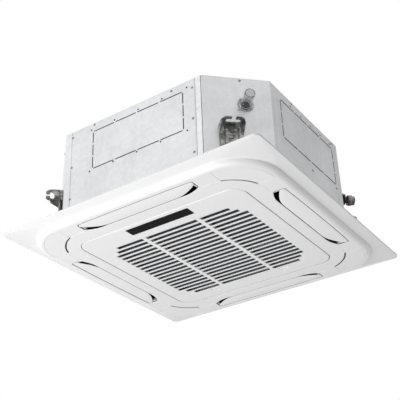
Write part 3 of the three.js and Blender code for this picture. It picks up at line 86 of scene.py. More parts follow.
class Value:
    """A shader socket that takes part in arithmetic: each operation adds one Math node."""

    def __init__(self, web: "Web", socket: bpy.types.NodeSocket) -> None:
        """Keeps the socket and the node web that it is in."""
        self.web = web
        self.socket = socket

    def _math(self, operation: str, *others: Any, swap: bool = False) -> "Value":
        """Adds a Math node.

        Args:
            operation: the Math node's operation.
            others: numbers or values for its further inputs.
            swap: whether this value is the second input and the first of others the first.

        Returns:
            The node's result.
        """
        operands = [self, *others]
        if swap:
            operands[0], operands[1] = operands[1], operands[0]
        return self.web.node("ShaderNodeMath", {"operation": operation}, dict(enumerate(operands)))

    def __add__(self, other: Any) -> "Value":
        """This value plus another."""
        return self._math("ADD", other)

    def __sub__(self, other: Any) -> "Value":
        """This value less another."""
        return self._math("SUBTRACT", other)

    def __rsub__(self, other: Any) -> "Value":
        """Another value less this one."""
        return self._math("SUBTRACT", other, swap=True)

    def __mul__(self, other: Any) -> "Value":
        """This value times another."""
        return self._math("MULTIPLY", other)

    __radd__ = __add__
    __rmul__ = __mul__

    def most(self, other: Any) -> "Value":
        """The larger of this value and another."""
        return self._math("MAXIMUM", other)

    def over(self, low: float, high: float) -> "Value":
        """A smooth step from 0 at low to 1 at high."""
        return self.web.node(
            "ShaderNodeMapRange",
            {"interpolation_type": "SMOOTHSTEP"},
            {"Value": self, "From Min": low, "From Max": high},
        )

    def wave(self, period: float) -> "Value":
        """A sine of this value, from -1 to 1, with the given period."""
        return (self * (FULL / period))._math("SINE")


class Web:
    """A node tree that is filled from Python expressions."""

    def __init__(self, owner: Any) -> None:
        """Empties the node tree of a material or world."""
        owner.use_nodes = True
        self.tree = owner.node_tree
        self.tree.nodes.clear()

    def feed(self, socket: bpy.types.NodeSocket, value: Any) -> None:
        """Links a value to a socket, or writes a constant on it."""
        if isinstance(value, Value):
            self.tree.links.new(value.socket, socket)
        elif isinstance(value, tuple) and len(value) == 3 and socket.type == "RGBA":
            socket.default_value = (*value, 1.0)
        else:
            socket.default_value = value

    def node(self, kind: str, settings: dict[str, Any], inputs: dict[Any, Any], output: Any = 0) -> Value:
        """Adds a node.

        Args:
            kind: the node's type.
            settings: its properties, set first.
            inputs: constants or values for its sockets, by name or number.
            output: which output is returned, by name or number.

        Returns:
            That output.
        """
        made = self.tree.nodes.new(kind)
        for key, value in settings.items():
            setattr(made, key, value)
        for key, value in inputs.items():
            self.feed(made.inputs[key], value)
        return Value(self, made.outputs[output])

    def mix(self, factor: Any, first: Any, second: Any) -> Value:
        """Two colours mixed by a factor."""
        return self.node("ShaderNodeMix", {"data_type": "RGBA"}, {0: factor, 6: first, 7: second}, 2)


class Paint(Web):
    """The node tree of one material, with its Principled shader."""

    def __init__(self, name: str) -> None:
        """Makes an empty material with a shader and an output."""
        self.material = bpy.data.materials.new(name)
        super().__init__(self.material)
        self.shader = self.tree.nodes.new("ShaderNodeBsdfPrincipled")
        output = self.tree.nodes.new("ShaderNodeOutputMaterial")
        self.tree.links.new(self.shader.outputs[0], output.inputs[0])

    def place(self) -> Value:
        """Object coordinates, in metres."""
        return self.node("ShaderNodeTexCoord", {}, {}, "Object")

    def axis(self, which: int) -> Value:
        """One of the three object coordinates, in metres."""
        return self.node("ShaderNodeSeparateXYZ", {}, {0: self.place()}, which)

    def noise(self, per_metre: float, detail: float = 3.0, stretch: Color = (1.0, 1.0, 1.0)) -> Value:
        """Cloudy noise from 0 to 1, with that many clouds to the metre, pulled out along an axis by stretch."""
        spot = self.node("ShaderNodeMapping", {}, {"Vector": self.place(), "Scale": stretch})
        return self.node(
            "ShaderNodeTexNoise", {}, {"Vector": spot, "Scale": per_metre, "Detail": detail, "Roughness": 0.55}
        )

    def cells(self, per_metre: float, feature: str = "F1", output: str = "Distance") -> Value:
        """Cell pattern with that many cells to the metre."""
        return self.node(
            "ShaderNodeTexVoronoi", {"feature": feature}, {"Vector": self.place(), "Scale": per_metre}, output
        )

    def bump(self, height: Value, depth_mm: float, strength: float = 1.0) -> Value:
        """A normal bent by a height that runs from 0 to 1 over that depth."""
        return self.node(
            "ShaderNodeBump", {}, {"Height": height, "Distance": depth_mm * MM, "Strength": strength}
        )

    def set(self, **sockets: Any) -> None:
        """Feeds the shader's sockets; an underscore in a name stands for a space."""
        for name, value in sockets.items():
            self.feed(self.shader.inputs[name.replace("_", " ")], value)


# ------------------------------------------------------------------ finishes


@dataclass(frozen=True)
class Finish:
    """What a piece is made of: its name, the record's slot, its colour and how rough it is."""

    name: str
    slot: str
    color: Color
    roughness: float

    def material(self) -> bpy.types.Material:
        """The Blender material, made once."""
        found = bpy.data.materials.get(self.name)
        if found:
            return found
        paint = Paint(self.name)
        paint.set(Base_Color=self.color, Roughness=self.roughness)
        self.dress(paint)
        return paint.material

    def dress(self, paint: Paint) -> None:
        """Adds what varies over the surface."""
        raise NotImplementedError

    def shade(self, factor: float) -> Color:
        """The colour made lighter or darker."""
        return tuple(min(channel * factor, 1.0) for channel in self.color)


@dataclass(frozen=True)
class GalvanisedSheet(Finish):
    """Zinc-coated sheet: small angular spangle, rolling streaks and a dull cloudy bloom."""

    metallic: float = 0.55
    spangle: float = 90.0

    def dress(self, paint: Paint) -> None:
        """Mixes spangle, streaks and bloom into colour, roughness and a faint bump."""
        crystal = paint.cells(self.spangle, output="Color")
        tone = paint.node("ShaderNodeSeparateColor", {}, {0: crystal}, 0)
        streak = paint.noise(60.0, 2.0, (1.0, 1.0, 0.05))
        bloom = paint.noise(5.0, 4.0).over(0.35, 0.68)
        mixed = tone * 0.3 + streak * 0.3 + bloom * 0.4
        paint.set(
            Base_Color=paint.mix(mixed, self.shade(0.86), self.shade(1.08)),
            Roughness=self.roughness + tone * 0.1 + bloom * 0.08,
            Metallic=self.metallic,
            Normal=paint.bump(paint.noise(14.0, 2.0), 0.5, 0.35),
        )


@dataclass(frozen=True)
class MouldedPlastic(Finish):
    """Injection-moulded plastic: even colour, a fine spark-eroded grain and slight gloss changes."""

    grain: float = 0.02
    coat: float = 0.0

    def dress(self, paint: Paint) -> None:
        """Adds grain as a bump and lets gloss and tone drift a little."""
        drift = paint.noise(7.0, 2.0)
        paint.set(
            Base_Color=paint.mix(drift, self.shade(0.985), self.shade(1.01)),
            Roughness=self.roughness + drift * 0.06 - 0.03,
            Normal=paint.bump(paint.noise(900.0, 1.0), self.grain, 0.5),
            Coat_Weight=self.coat,
        )


@dataclass(frozen=True)
class DarkZinc(Finish):
    """Thick pressed steel with a dark passivated plating, mottled grey and brown."""

    def dress(self, paint: Paint) -> None:
        """Adds brown stains, light rubbed patches and a pitted bump."""
        stain = paint.noise(55.0, 4.0).over(0.4, 0.65)
        rub = paint.noise(160.0, 3.0).over(0.58, 0.8)
        brown = (self.color[0] * 0.3, self.color[1] * 0.29, self.color[2] * 0.27)
        worn = paint.mix(rub, paint.mix(stain, self.color, brown), self.shade(1.7))
        paint.set(
            Base_Color=worn,
            Roughness=self.roughness + stain * 0.12 - rub * 0.1,
            Metallic=0.75,
            Normal=paint.bump(paint.noise(420.0, 2.0), 0.12, 0.5),
        )


@dataclass(frozen=True)
class BeadFoam(Finish):
    """Moulded bead foam: round beads pressed against each other."""

    bead: float = 260.0

    def dress(self, paint: Paint) -> None:
        """Draws the beads as cells that bulge, with dark joints."""
        joint = paint.cells(self.bead, "DISTANCE_TO_EDGE").over(0.0, 0.12)
        paint.set(
            Base_Color=paint.mix(joint, self.shade(0.8), self.color),
            Normal=paint.bump(joint, 0.4, 0.5),
        )


@dataclass(frozen=True)
class SoftFoam(Finish):
    """Closed-cell foam: fine open pores on a dull skin."""

    def dress(self, paint: Paint) -> None:
        """Draws pores as small dark cells."""
        pore = paint.cells(700.0).over(0.1, 0.45)
        paint.set(
            Base_Color=paint.mix(pore, self.shade(0.6), self.shade(1.3)),
            Specular_IOR_Level=0.1,
            Normal=paint.bump(pore, 0.25, 0.6),
        )


@dataclass(frozen=True)
class FinStack(Finish):
    """Coil face: thin upright fins, seen as close light and dark lines."""

    pitch_mm: float = 1.8

    def dress(self, paint: Paint) -> None:
        """Draws upright lines along X and Y, crossed by the faint rows of tubes; the darker lines paint the
        shade in the gaps between the fins.
        """
        lines = (paint.axis(0) + paint.axis(1)).wave(self.pitch_mm * MM)
        tubes = paint.axis(2).wave(21 * MM).over(0.6, 1.0)
        shade = lines.over(-0.6, 0.6) * 0.8 + tubes * 0.2
        paint.set(
            Base_Color=paint.mix(shade, self.shade(0.35), self.color),
            Metallic=0.6,
            Normal=paint.bump(lines, 0.5, 0.6),
        )


@dataclass(frozen=True)
class TurnedMetal(Finish):
    """Turned, drawn or plated metal: fine lines round it and a slight tarnish."""

    tarnish: Color = (0.5, 0.5, 0.5)
    metallic: float = 0.9

    def dress(self, paint: Paint) -> None:
        """Mixes tarnish in cloudy patches and adds fine tool lines."""
        patch = paint.noise(90.0, 3.0).over(0.45, 0.7)
        paint.set(
            Base_Color=paint.mix(patch, self.color, self.tarnish),
            Roughness=self.roughness + patch * 0.15,
            Metallic=self.metallic,
            Normal=paint.bump(paint.noise(700.0, 1.0, (1.0, 1.0, 6.0)), 0.04, 0.4),
        )


@dataclass(frozen=True)
class ClearPlastic(Finish):
    """Clear tube: light passes through it, with faint flow lines and a slightly milky body."""

    clarity: float = 0.75

    def dress(self, paint: Paint) -> None:
        """Sets the clearness and adds flow lines."""
        flow = paint.noise(45.0, 2.0)
        paint.set(
            Base_Color=paint.mix(flow, self.shade(0.9), self.color),
            Transmission_Weight=self.clarity,
            IOR=1.42,
            Normal=paint.bump(flow, 0.15, 0.2),
        )


@dataclass(frozen=True)
class WovenNet(Finish):
    """Fine nylon net: threads both ways, with darker holes between them that paint the shade behind the net."""

    pitch_mm: float = 1.6

    def dress(self, paint: Paint) -> None:
        """Draws the threads from two sine waves."""
        across = paint.axis(0).wave(self.pitch_mm * MM)
        along = paint.axis(1).wave(self.pitch_mm * MM)
        thread = across.most(along).over(0.2, 0.9)
        paint.set(
            Base_Color=paint.mix(thread, self.shade(0.15), self.shade(1.6)),
            Specular_IOR_Level=0.1,
            Normal=paint.bump(thread, 0.3, 0.6),
        )


@dataclass(frozen=True)
class SmokedWindow(Finish):
    """Black glossy window: near black with a clear hard surface."""

    def dress(self, paint: Paint) -> None:
        """Adds the faintest ripple to the gloss."""
        ripple = paint.noise(25.0, 1.0)
        paint.set(
            Base_Color=paint.mix(ripple, self.color, self.shade(1.6)),
            Roughness=self.roughness + ripple * 0.03,
            Specular_IOR_Level=0.05,
        )


@dataclass(frozen=True)
class BoardLacquer(Finish):
    """Printed board: green lacquer over faint straight tracks."""

    def dress(self, paint: Paint) -> None:
        """Draws the tracks as narrow stripes broken by noise."""
        track = paint.axis(1).wave(3.2 * MM).over(0.7, 0.9) * paint.noise(40.0).over(0.45, 0.55)
        paint.set(
            Base_Color=paint.mix(track, self.color, self.shade(1.8)),
            Normal=paint.bump(track, 0.05),
        )


class Look(Enum):
    """Every finish on the object."""

    CASING = GalvanisedSheet("galvanised_sheet", "casing", (0.80, 0.81, 0.82), 0.28)
    BRACKET = DarkZinc("dark_zinc_steel", "bracket", (0.40, 0.40, 0.39), 0.34)
    PANEL = MouldedPlastic("white_panel_plastic", "white_panel", (0.86, 0.86, 0.86), 0.24, coat=0.15)
    LOUVER = MouldedPlastic("white_louver_plastic", "white_louver", (0.88, 0.88, 0.88), 0.2, coat=0.2)
    FOAM = BeadFoam("bead_foam", "foam", (0.84, 0.84, 0.82), 0.85)
    BLACK_FOAM = SoftFoam("black_cell_foam", "black_foam", (0.025, 0.025, 0.026), 0.9)
    FINS = FinStack("coated_fins", "fins", (0.58, 0.66, 0.70), 0.45)
    GREY = MouldedPlastic("grey_plastic", "grey_plastic", (0.30, 0.31, 0.32), 0.5, grain=0.05)
    STEEL = TurnedMetal("plain_steel", "steel", (0.55, 0.56, 0.57), 0.3, (0.42, 0.41, 0.4))
    SCREW = TurnedMetal("dull_screw_steel", "steel", (0.3, 0.3, 0.3), 0.35, (0.16, 0.16, 0.16))
    COPPER = TurnedMetal("drawn_copper", "copper", (0.13, 0.105, 0.09), 0.34, (0.05, 0.045, 0.04))
    NUT = TurnedMetal("browned_brass", "flare_nut", (0.26, 0.26, 0.26), 0.28, (0.09, 0.09, 0.09))
    CLEAR = ClearPlastic("clear_tube", "clear_plastic", (0.80, 0.81, 0.83), 0.03, clarity=0.96)
    HOSE = ClearPlastic("milky_hose", "hose", (0.6, 0.62, 0.62), 0.3, clarity=0.3)
    # The net's near-black colour also paints the shade behind the grille's slots.
    NET = WovenNet("filter_net", "filter_net", (0.022, 0.024, 0.026), 0.8)
    WINDOW = SmokedWindow("smoked_window", "black_window", (0.006, 0.006, 0.006), 0.06)
    BOARD = BoardLacquer("board_lacquer", "circuit_board", (0.03, 0.17, 0.08), 0.35)
    # Near-black foam look for pieces that paint the shade in gaps, hollows, holes and cuts.
    DARK = SoftFoam("painted_shade_black", "black_foam", (0.008, 0.008, 0.008), 0.8)
    # A brighter copy of the casing's sheet that paints the highlight along a bent edge.
    FLANGE = GalvanisedSheet("painted_edge_highlight", "casing", (0.93, 0.93, 0.94), 0.26, 0.3)


SLOT_LOOKS = {look.value.slot: look for look in Look if look not in (Look.DARK, Look.SCREW, Look.FLANGE)}


# ------------------------------------------------------------------ plan outlines, in millimetres


def arc(centre: Place, radius: float, start: float, end: float, steps: int) -> Array:
    """Points of a circular arc: centre plus radius times cosine and sine of evenly spaced angles.

    Args:
        centre: the arc's centre.
        radius: its radius.
        start: the first angle, in radians.
        end: the last angle.
        steps: how many chords it gets.

    Returns:
        Points of shape (steps + 1, 2).
    """
    turn = np.linspace(start, end, steps + 1)
    return np.stack([centre[0] + radius * np.cos(turn), centre[1] + radius * np.sin(turn)], axis=1)


def disc(centre: Place, radius: float, steps: int) -> Array:
    """Closed counter-clockwise circle."""
    return arc(centre, radius, 0.0, FULL, steps)[:-1]


def bend(first: Sequence[float], control: Sequence[float], last: Sequence[float], steps: int) -> Array:
    """A parabola through its two ends: (1-t)^2 first + 2t(1-t) control + t^2 last, ends included."""
    t = np.linspace(0.0, 1.0, steps + 1)[:, None]
    a, b, c = (np.asarray(point, float) for point in (first, control, last))
    return (1 - t) ** 2 * a + 2 * t * (1 - t) * b + t**2 * c


def turned_by(points: Array, angle: float) -> Array:
    """Points turned about Z by an angle in radians; a third coordinate stays."""
    turned = np.array(points, float)
    cosine, sine = math.cos(angle), math.sin(angle)
    turned[..., 0] = points[..., 0] * cosine - points[..., 1] * sine
    turned[..., 1] = points[..., 0] * sine + points[..., 1] * cosine
    return turned


def rounded_square(half: float, radius: float, steps: int = 24) -> Array:
    """Counter-clockwise square of that half side with round corners, the same count for every size."""
    corner = arc((half - radius, half - radius), radius, 0.0, QUARTER, steps)
    return np.concatenate([turned_by(corner, k * QUARTER) for k in range(4)])


def rectangle(left: float, right: float, low: float, high: float, radius: float = 0.0, steps: int = 4) -> Array:
    """Counter-clockwise rectangle, with round corners where radius is over 0."""
    if radius <= 0:
        return np.array([[left, low], [right, low], [right, high], [left, high]], float)
    centres = [(right - radius, high - radius), (left + radius, high - radius)]
    centres += [(left + radius, low + radius), (right - radius, low + radius)]
    return np.concatenate(
        [arc(c, radius, k * QUARTER, (k + 1) * QUARTER, steps) for k, c in enumerate(centres)]
    )


def block(x: float, y: float, reach_x: float, reach_y: float, radius: float = 0.0) -> Array:
    """Counter-clockwise rectangle about a middle, given by how far it reaches each way."""
    return rectangle(x - reach_x, x + reach_x, y - reach_y, y + reach_y, radius)


def is_clockwise(loop: Array) -> bool:
    """Whether a closed loop runs clockwise: the sign of the shoelace sum."""
    ahead = np.roll(loop, -1, axis=0)
    return float((loop[:, 0] * ahead[:, 1] - ahead[:, 0] * loop[:, 1]).sum()) < 0


def without_repeats(loop: Array) -> Array:
    """A closed loop without points that lie on the one before."""
    step = np.linalg.norm(loop - np.roll(loop, 1, axis=0), axis=1)
    return loop[step > REPEAT]


def grown(loop: Array, distance: float) -> Array:
    """A closed loop moved outward: each point goes along the mitre of its two edges' outer normals."""
    if distance == 0:
        return loop
    ahead = np.roll(loop, -1, axis=0) - loop
    ahead /= np.linalg.norm(ahead, axis=1)[:, None]
    behind = np.roll(ahead, 1, axis=0)
    normals = np.stack([ahead[:, 1] + behind[:, 1], -ahead[:, 0] - behind[:, 0]], axis=1)
    length = np.maximum((normals**2).sum(axis=1), MITRE)[:, None]
    side = -1.0 if is_clockwise(loop) else 1.0
    return loop + side * distance * 2 * normals / length


def along_line(path: Array, width: float) -> Array:
    """Closed strip of a given width along an open path: both sides, moved by half the width."""
    step = np.gradient(path, axis=0)
    step /= np.linalg.norm(step, axis=1)[:, None]
    offset = np.stack([-step[:, 1], step[:, 0]], axis=1) * width / 2
    loop = np.concatenate([path + offset, (path - offset)[::-1]])
    return loop[::-1] if is_clockwise(loop) else loop


# ------------------------------------------------------------------ points in space


def at_level(plan: Array, level: float) -> Array:
    """Points of a plan, put at a level."""
    return np.column_stack([plan, np.full(len(plan), level)])


def at_station(section: Array, x: float) -> Array:
    """Points of a section in Y and Z, put at a place along X."""
    return np.column_stack([np.full(len(section), x), section])


def ring(half: float, radius: float, level: float) -> Array:
    """A square with round corners, put at a level."""
    return at_level(rounded_square(half, radius), level)


def about_z(radius: Array, level: Array, turn: Array) -> Array:
    """Grid of points (radius cos turn, radius sin turn, level).

    Args:
        radius: of shape (rows, 1), or (rows, columns) where it varies on the way round.
        level: of shape (rows,).
        turn: angles in radians, of shape (columns,).

    Returns:
        Points of shape (rows, columns, 3).
    """
    return np.stack(np.broadcast_arrays(radius * np.cos(turn), radius * np.sin(turn), level[:, None]), axis=-1)


# ------------------------------------------------------------------ shells


class Shells:
    """Points and faces of one piece, gathered from closed shells that may touch."""

    def __init__(self) -> None:
        """Starts with no shell."""
        self.points: list[Array] = []
        self.loops: list[Array] = []
        self.counts: list[Array] = []
        self.total = 0

    def add(self, points: Array, faces: Array) -> "Shells":
        """Adds faces of one kind over their own points, given in millimetres."""
        faces = np.asarray(faces, int)
        self.points.append(np.asarray(points, float).reshape(-1, 3))
        self.loops.append((faces + self.total).ravel())
        self.counts.append(np.full(len(faces), faces.shape[1]))
        self.total += len(self.points[-1])
        return self

    def sheet(self, grid: Array, around: bool = False, closed: bool = False) -> "Shells":
        """Quads between the rows and columns of a grid of points, of shape (rows, columns, 3).

        Args:
            grid: the points.
            around: whether the last column joins the first.
            closed: whether the last row joins the first.

        Returns:
            These shells.
        """
        rows, columns = grid.shape[:2]
        index = np.arange(rows * columns).reshape(rows, columns)
        if around:
            index = np.concatenate([index, index[:, :1]], axis=1)
        if closed:
            index = np.concatenate([index, index[:1]], axis=0)
        quads = np.stack([index[:-1, :-1], index[:-1, 1:], index[1:, 1:], index[1:, :-1]], axis=-1)
        return self.add(grid, quads.reshape(-1, 4))

    def flat(self, loops: Sequence[Array], level: float) -> "Shells":
        """Flat face at a level, bounded by loops; a point is inside where it is in an odd number of them."""
        corners, triangles = filled(loops)
        return self.add(at_level(corners, level), triangles)

    def lift(self, loop: Array, offsets: Sequence[float], levels: Sequence[float]) -> "Shells":
        """Wall along a closed loop, moved outward by each offset at each level."""
        rows = [at_level(grown(loop, offset), level) for offset, level in zip(offsets, levels)]
        return self.sheet(np.stack(rows), around=True)

    def soft_wall(self, loop: Array, soft: Place, levels: Place, rows: int) -> "Shells":
        """Wall along a closed loop between two levels, with a rounded foot.

        The foot is a quarter ellipse over the angle a from 0 to a quarter turn: there it stands outward
        by run (1 - sin a), at the low level plus rise (1 - cos a).

        Args:
            loop: the wall's plan.
            soft: run and rise of the foot; a run below 0 stands inward.
            levels: the low and the high level.
            rows: how many rows of points the foot gets.

        Returns:
            These shells.
        """
        (run, rise), (low, high) = soft, levels
        turn = np.linspace(0.0, QUARTER, rows)
        return self.lift(loop, [*(run * (1 - np.sin(turn))), 0.0], [*(low + rise * (1 - np.cos(turn))), high])

    def slab(
        self, outer: Array, holes: Sequence[Array], low: float, high: float, edge: float = 0.0
    ) -> "Shells":
        """Flat piece between two levels, with holes; its lower edges are rounded by edge."""
        rows = SOFT_ROWS if edge else 1
        for loop, run in ((outer, -edge), *((hole, edge) for hole in holes)):
            self.soft_wall(loop, (run, edge), (low, high), rows)
        self.flat([grown(outer, -edge), *(grown(hole, edge) for hole in holes)], low)
        return self.flat([outer, *holes], high)

    def rod(self, section: Array, start: float, end: float) -> "Shells":
        """Closed section in Y and Z carried along X, with flat ends."""
        corners, triangles = filled([section])
        for x in (start, end):
            self.add(at_station(corners, x), triangles)
        return self.sheet(np.stack([at_station(section, x) for x in (start, end)]), around=True)

    def turned(self, profile: Sequence[Place], steps: int = 48, closed: bool = False) -> "Shells":
        """Profile of radius and level turned about Z; closed joins its last point to its first."""
        turn = np.linspace(0.0, FULL, steps, endpoint=False)
        radius, level = np.array(profile, float).T
        return self.sheet(about_z(radius[:, None], level, turn), around=True, closed=closed)

    def merged(self, other: "Shells", move: Move | None = None) -> "Shells":
        """Adds another piece's shells, each point passed through move."""
        for points, loops, counts in zip(other.points, other.loops, other.counts):
            self.points.append(move(points) if move else points)
            self.loops.append(loops + self.total)
            self.counts.append(counts)
        self.total += other.total
        return self

    def on_all_sides(self, other: "Shells") -> "Shells":
        """Adds another piece's shells once for each side of the unit, turned about Z."""
        for k in range(4):
            self.merged(other, turned_copy(k * QUARTER))
        return self

    def piece(
        self, name: str, look: Look, body: str, replaces: Iterable[str] = (), smooth: float = 32.0
    ) -> bpy.types.Object:
        """Makes the mesh object, welds and turns its faces outward, dresses it and puts it on a body.

        Args:
            name: the piece's name.
            look: its finish.
            body: the body that it rides on.
            replaces: solids that it stands for.
            smooth: edges sharper than this, in degrees, stay sharp.

        Returns:
            The object.
        """
        mesh = bpy.data.meshes.new(name)
        points = np.concatenate(self.points) * MM
        loops = np.concatenate(self.loops)
        counts = np.concatenate(self.counts)
        mesh.vertices.add(len(points))
        mesh.vertices.foreach_set("co", points.astype(np.float32).ravel())
        mesh.loops.add(len(loops))
        mesh.loops.foreach_set("vertex_index", loops.astype(np.int32))
        mesh.polygons.add(len(counts))
        starts = np.concatenate([[0], np.cumsum(counts)[:-1]])
        mesh.polygons.foreach_set("loop_start", starts.astype(np.int32))
        mesh.update(calc_edges=True)
        work = bmesh.new()
        work.from_mesh(mesh)
        bmesh.ops.remove_doubles(work, verts=work.verts, dist=SAME_POINT)
        bmesh.ops.recalc_face_normals(work, faces=work.faces)
        work.to_mesh(mesh)
        work.free()
        mesh.validate()
        mesh.shade_smooth()
        mesh.set_sharp_from_angle(angle=math.radians(smooth))
        mesh.materials.append(look.value.material())
        made = in_scene(name, mesh)
        weighted = made.modifiers.new("flat_faces_lead", "WEIGHTED_NORMAL")
        weighted.keep_sharp = True
        weighted.weight = FLAT_LEAD
        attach(made, body)
        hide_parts(*replaces)
        LOG.info("%s: %d faces on %s", name, len(mesh.polygons), body)
        return made


def in_scene(name: str, data: Any) -> bpy.types.Object:
    """Adds an object to the scene, which shows a mesh, a lamp or a lens."""
    made = bpy.data.objects.new(name, data)
    bpy.context.scene.collection.objects.link(made)
    return made


def filled(loops: Sequence[Array]) -> tuple[Array, Array]:
    """Triangles of the area between closed loops, by a constrained triangulation of all their points.

    Args:
        loops: closed loops that don't cross; the area is where a point is in an odd number of them.

    Returns:
        The corners, of shape (n, 2), and the triangles, of shape (m, 3).
    """
    loops = [without_repeats(loop) for loop in loops]
    starts = np.cumsum([0] + [len(loop) for loop in loops])
    edges = [
        (start + i, start + (i + 1) % len(loop)) for start, loop in zip(starts, loops) for i in range(len(loop))
    ]
    corners = np.concatenate(loops)
    made, _, faces, *_ = delaunay_2d_cdt([tuple(p) for p in corners], edges, [], 0, SAME_CORNER)
    corners = np.array([tuple(p) for p in made])
    triangles = np.array(faces, int)
    middle = corners[triangles].mean(axis=1)
    inside = np.zeros(len(middle), bool)
    for loop in loops:
        ahead = np.roll(loop, -1, axis=0)
        crosses = (loop[:, 1] > middle[:, 1:]) != (ahead[:, 1] > middle[:, 1:])
        rise = np.where(ahead[:, 1] == loop[:, 1], LEVEL_EDGE, ahead[:, 1] - loop[:, 1])
        reach = loop[:, 0] + (middle[:, 1:] - loop[:, 1]) * (ahead[:, 0] - loop[:, 0]) / rise
        inside ^= (crosses & (middle[:, :1] < reach)).sum(axis=1) % 2 == 1
    return corners, triangles[inside]


def on_wall(plane: float, side: float, level: float = 0.0, turn: float = 0.0) -> Move:
    """A move that takes a piece drawn flat, with Z up, onto a wall that faces -Y, then turns it about Z.

    Args:
        plane: how far out the wall stands.
        side: where the piece's origin goes along the wall.
        level: where its origin goes up the wall.
        turn: the wall's own turn about Z, in radians.

    Returns:
        A function from points to moved points: (x, y, z) becomes (x + side, -plane - z, y + level), turned.
    """

    def move(points: Array) -> Array:
        """Moves an array of points."""
        placed = np.stack([points[:, 0] + side, -plane - points[:, 2], points[:, 1] + level], axis=1)
        return turned_by(placed, turn)

    return move


def turned_copy(turn: float, shift: tuple[float, float, float] = (0.0, 0.0, 0.0)) -> Move:
    """A move that shifts points and then turns them about Z."""
    return lambda points: turned_by(points + np.array(shift), turn)


# ------------------------------------------------------------------ the panel


@dataclass
class Outlet:
    """One air outlet and its louver, drawn on the front side: sizes measured from the unit's centre."""

    half_length: float = 215.0
    outer: float = 411.0
    width: float = 58.0
    bow: float = 2.5
    corner: float = 6.0
    taper: Place = (160.0, 18.0)  # where the inner edge starts to drop, and how far it drops
    face: float = -28.0
    blade_gap: float = 2.4
    blade_taper: Place = (128.0, 36.0)  # the same for the blade
    hollow: float = 0.9
    crown: Place = (2.4, 5.5)  # the back's height at the edges, and its further rise
    pivot: Place = (-372.0, -22.0)  # Y and Z
    ear_foot: Place = (-403.0, -26.5)  # Y and Z of its lowest outer corner
    ear_sides: Place = (207.5, 210.5)  # start and end along X
    pin_radius: float = 2.5
    pin_tip: float = 222.8

    def edges(self, grow: float, taper: Place) -> tuple[Array, Array, Array]:
        """Both long edges at a row of stations.

        The outer edge is outer plus a bow that grows with the square of x. The inner edge is straight and
        then drops by the taper times w^1.75, with w from 0 to 1 over the tapered end. Both turn in at the
        ends by a quarter circle.

        Args:
            grow: how far every edge moves outward.
            taper: where the inner edge's straight part ends, and how far it drops from there.

        Returns:
            The stations on X, the outer edge and the inner edge.
        """
        straight, drop = taper
        end = self.half_length + grow
        turn = np.linspace(0, QUARTER, 7)
        level = np.linspace(0, straight, 9)[:-1]
        sloped = np.linspace(straight, end - self.corner, 11)[:-1]
        right = np.concatenate([level, sloped, end - self.corner + self.corner * np.sin(turn)])
        tuck = np.concatenate([np.zeros(len(level) + len(sloped)), self.corner * (1 - np.cos(turn))])
        w = np.clip((right - straight) / (end - straight), 0, 1)
        outer = -self.outer - grow + self.bow * (right / end) ** 2 + tuck
        inner = -self.outer + self.width + grow - drop * w**1.75 - tuck
        x = np.concatenate([-right[:0:-1], right])
        return x, np.concatenate([outer[:0:-1], outer]), np.concatenate([inner[:0:-1], inner])

    def opening(self) -> Array:
        """Closed outline of the opening, counter-clockwise."""
        x, outer, inner = self.edges(0.0, self.taper)
        return np.concatenate([np.stack([x, outer], axis=1), np.stack([x, inner], axis=1)[::-1]])

    def blade(self) -> Array:
        """The blade's surface, as a grid with one row of points round the section at each station.

        Across the blade, s runs from -1 to 1. The face is face plus hollow s^2. The back stands above it by
        a + b (1 - s^2), where a and b are the crown's numbers, times (1 - s^2)^0.175, so that it thins to
        nothing at the rounded edges.
        """
        x, outer, inner = self.edges(-self.blade_gap, self.blade_taper)
        s = np.sin(np.linspace(-QUARTER, QUARTER, 15))
        middle, reach = (outer + inner) / 2, (inner - outer) / 2
        y = middle[:, None] + reach[:, None] * s
        face = np.broadcast_to(self.face + self.hollow * s**2, y.shape)
        least, rise = self.crown
        back = face + (least + rise * (1 - s**2)) * np.sqrt(np.clip(1 - s**2, 0, 1)) ** 0.35
        below, above = np.stack([y, face], axis=2), np.stack([y, back], axis=2)
        across = np.concatenate([below, above[:, -2:0:-1]], axis=1)
        return np.concatenate([np.broadcast_to(x[:, None, None], (*across.shape[:2], 1)), across], axis=2)

    def louver(self) -> Shells:
        """Blade with a crowned back, and an ear with a pivot pin at each end."""
        grid = self.blade()
        made = Shells().sheet(grid, around=True)
        for row in (grid[0], grid[-1]):
            made.add(row, [range(len(row))])
        y, z = self.pivot
        far, foot = self.ear_foot
        low = [[far, foot], [y - 16, foot], [y + 2, z - 4]]
        ear = np.array([*low, [y + 4.5, z + 1], [y + 1, z + 5], [y - 12, z + 3]])
        start, end = self.ear_sides
        for side in (-1.0, 1.0):
            made.rod(ear, side * start, side * end)
            made.rod(disc(self.pivot, self.pin_radius, 20), side * start, side * self.pin_tip)
        return made


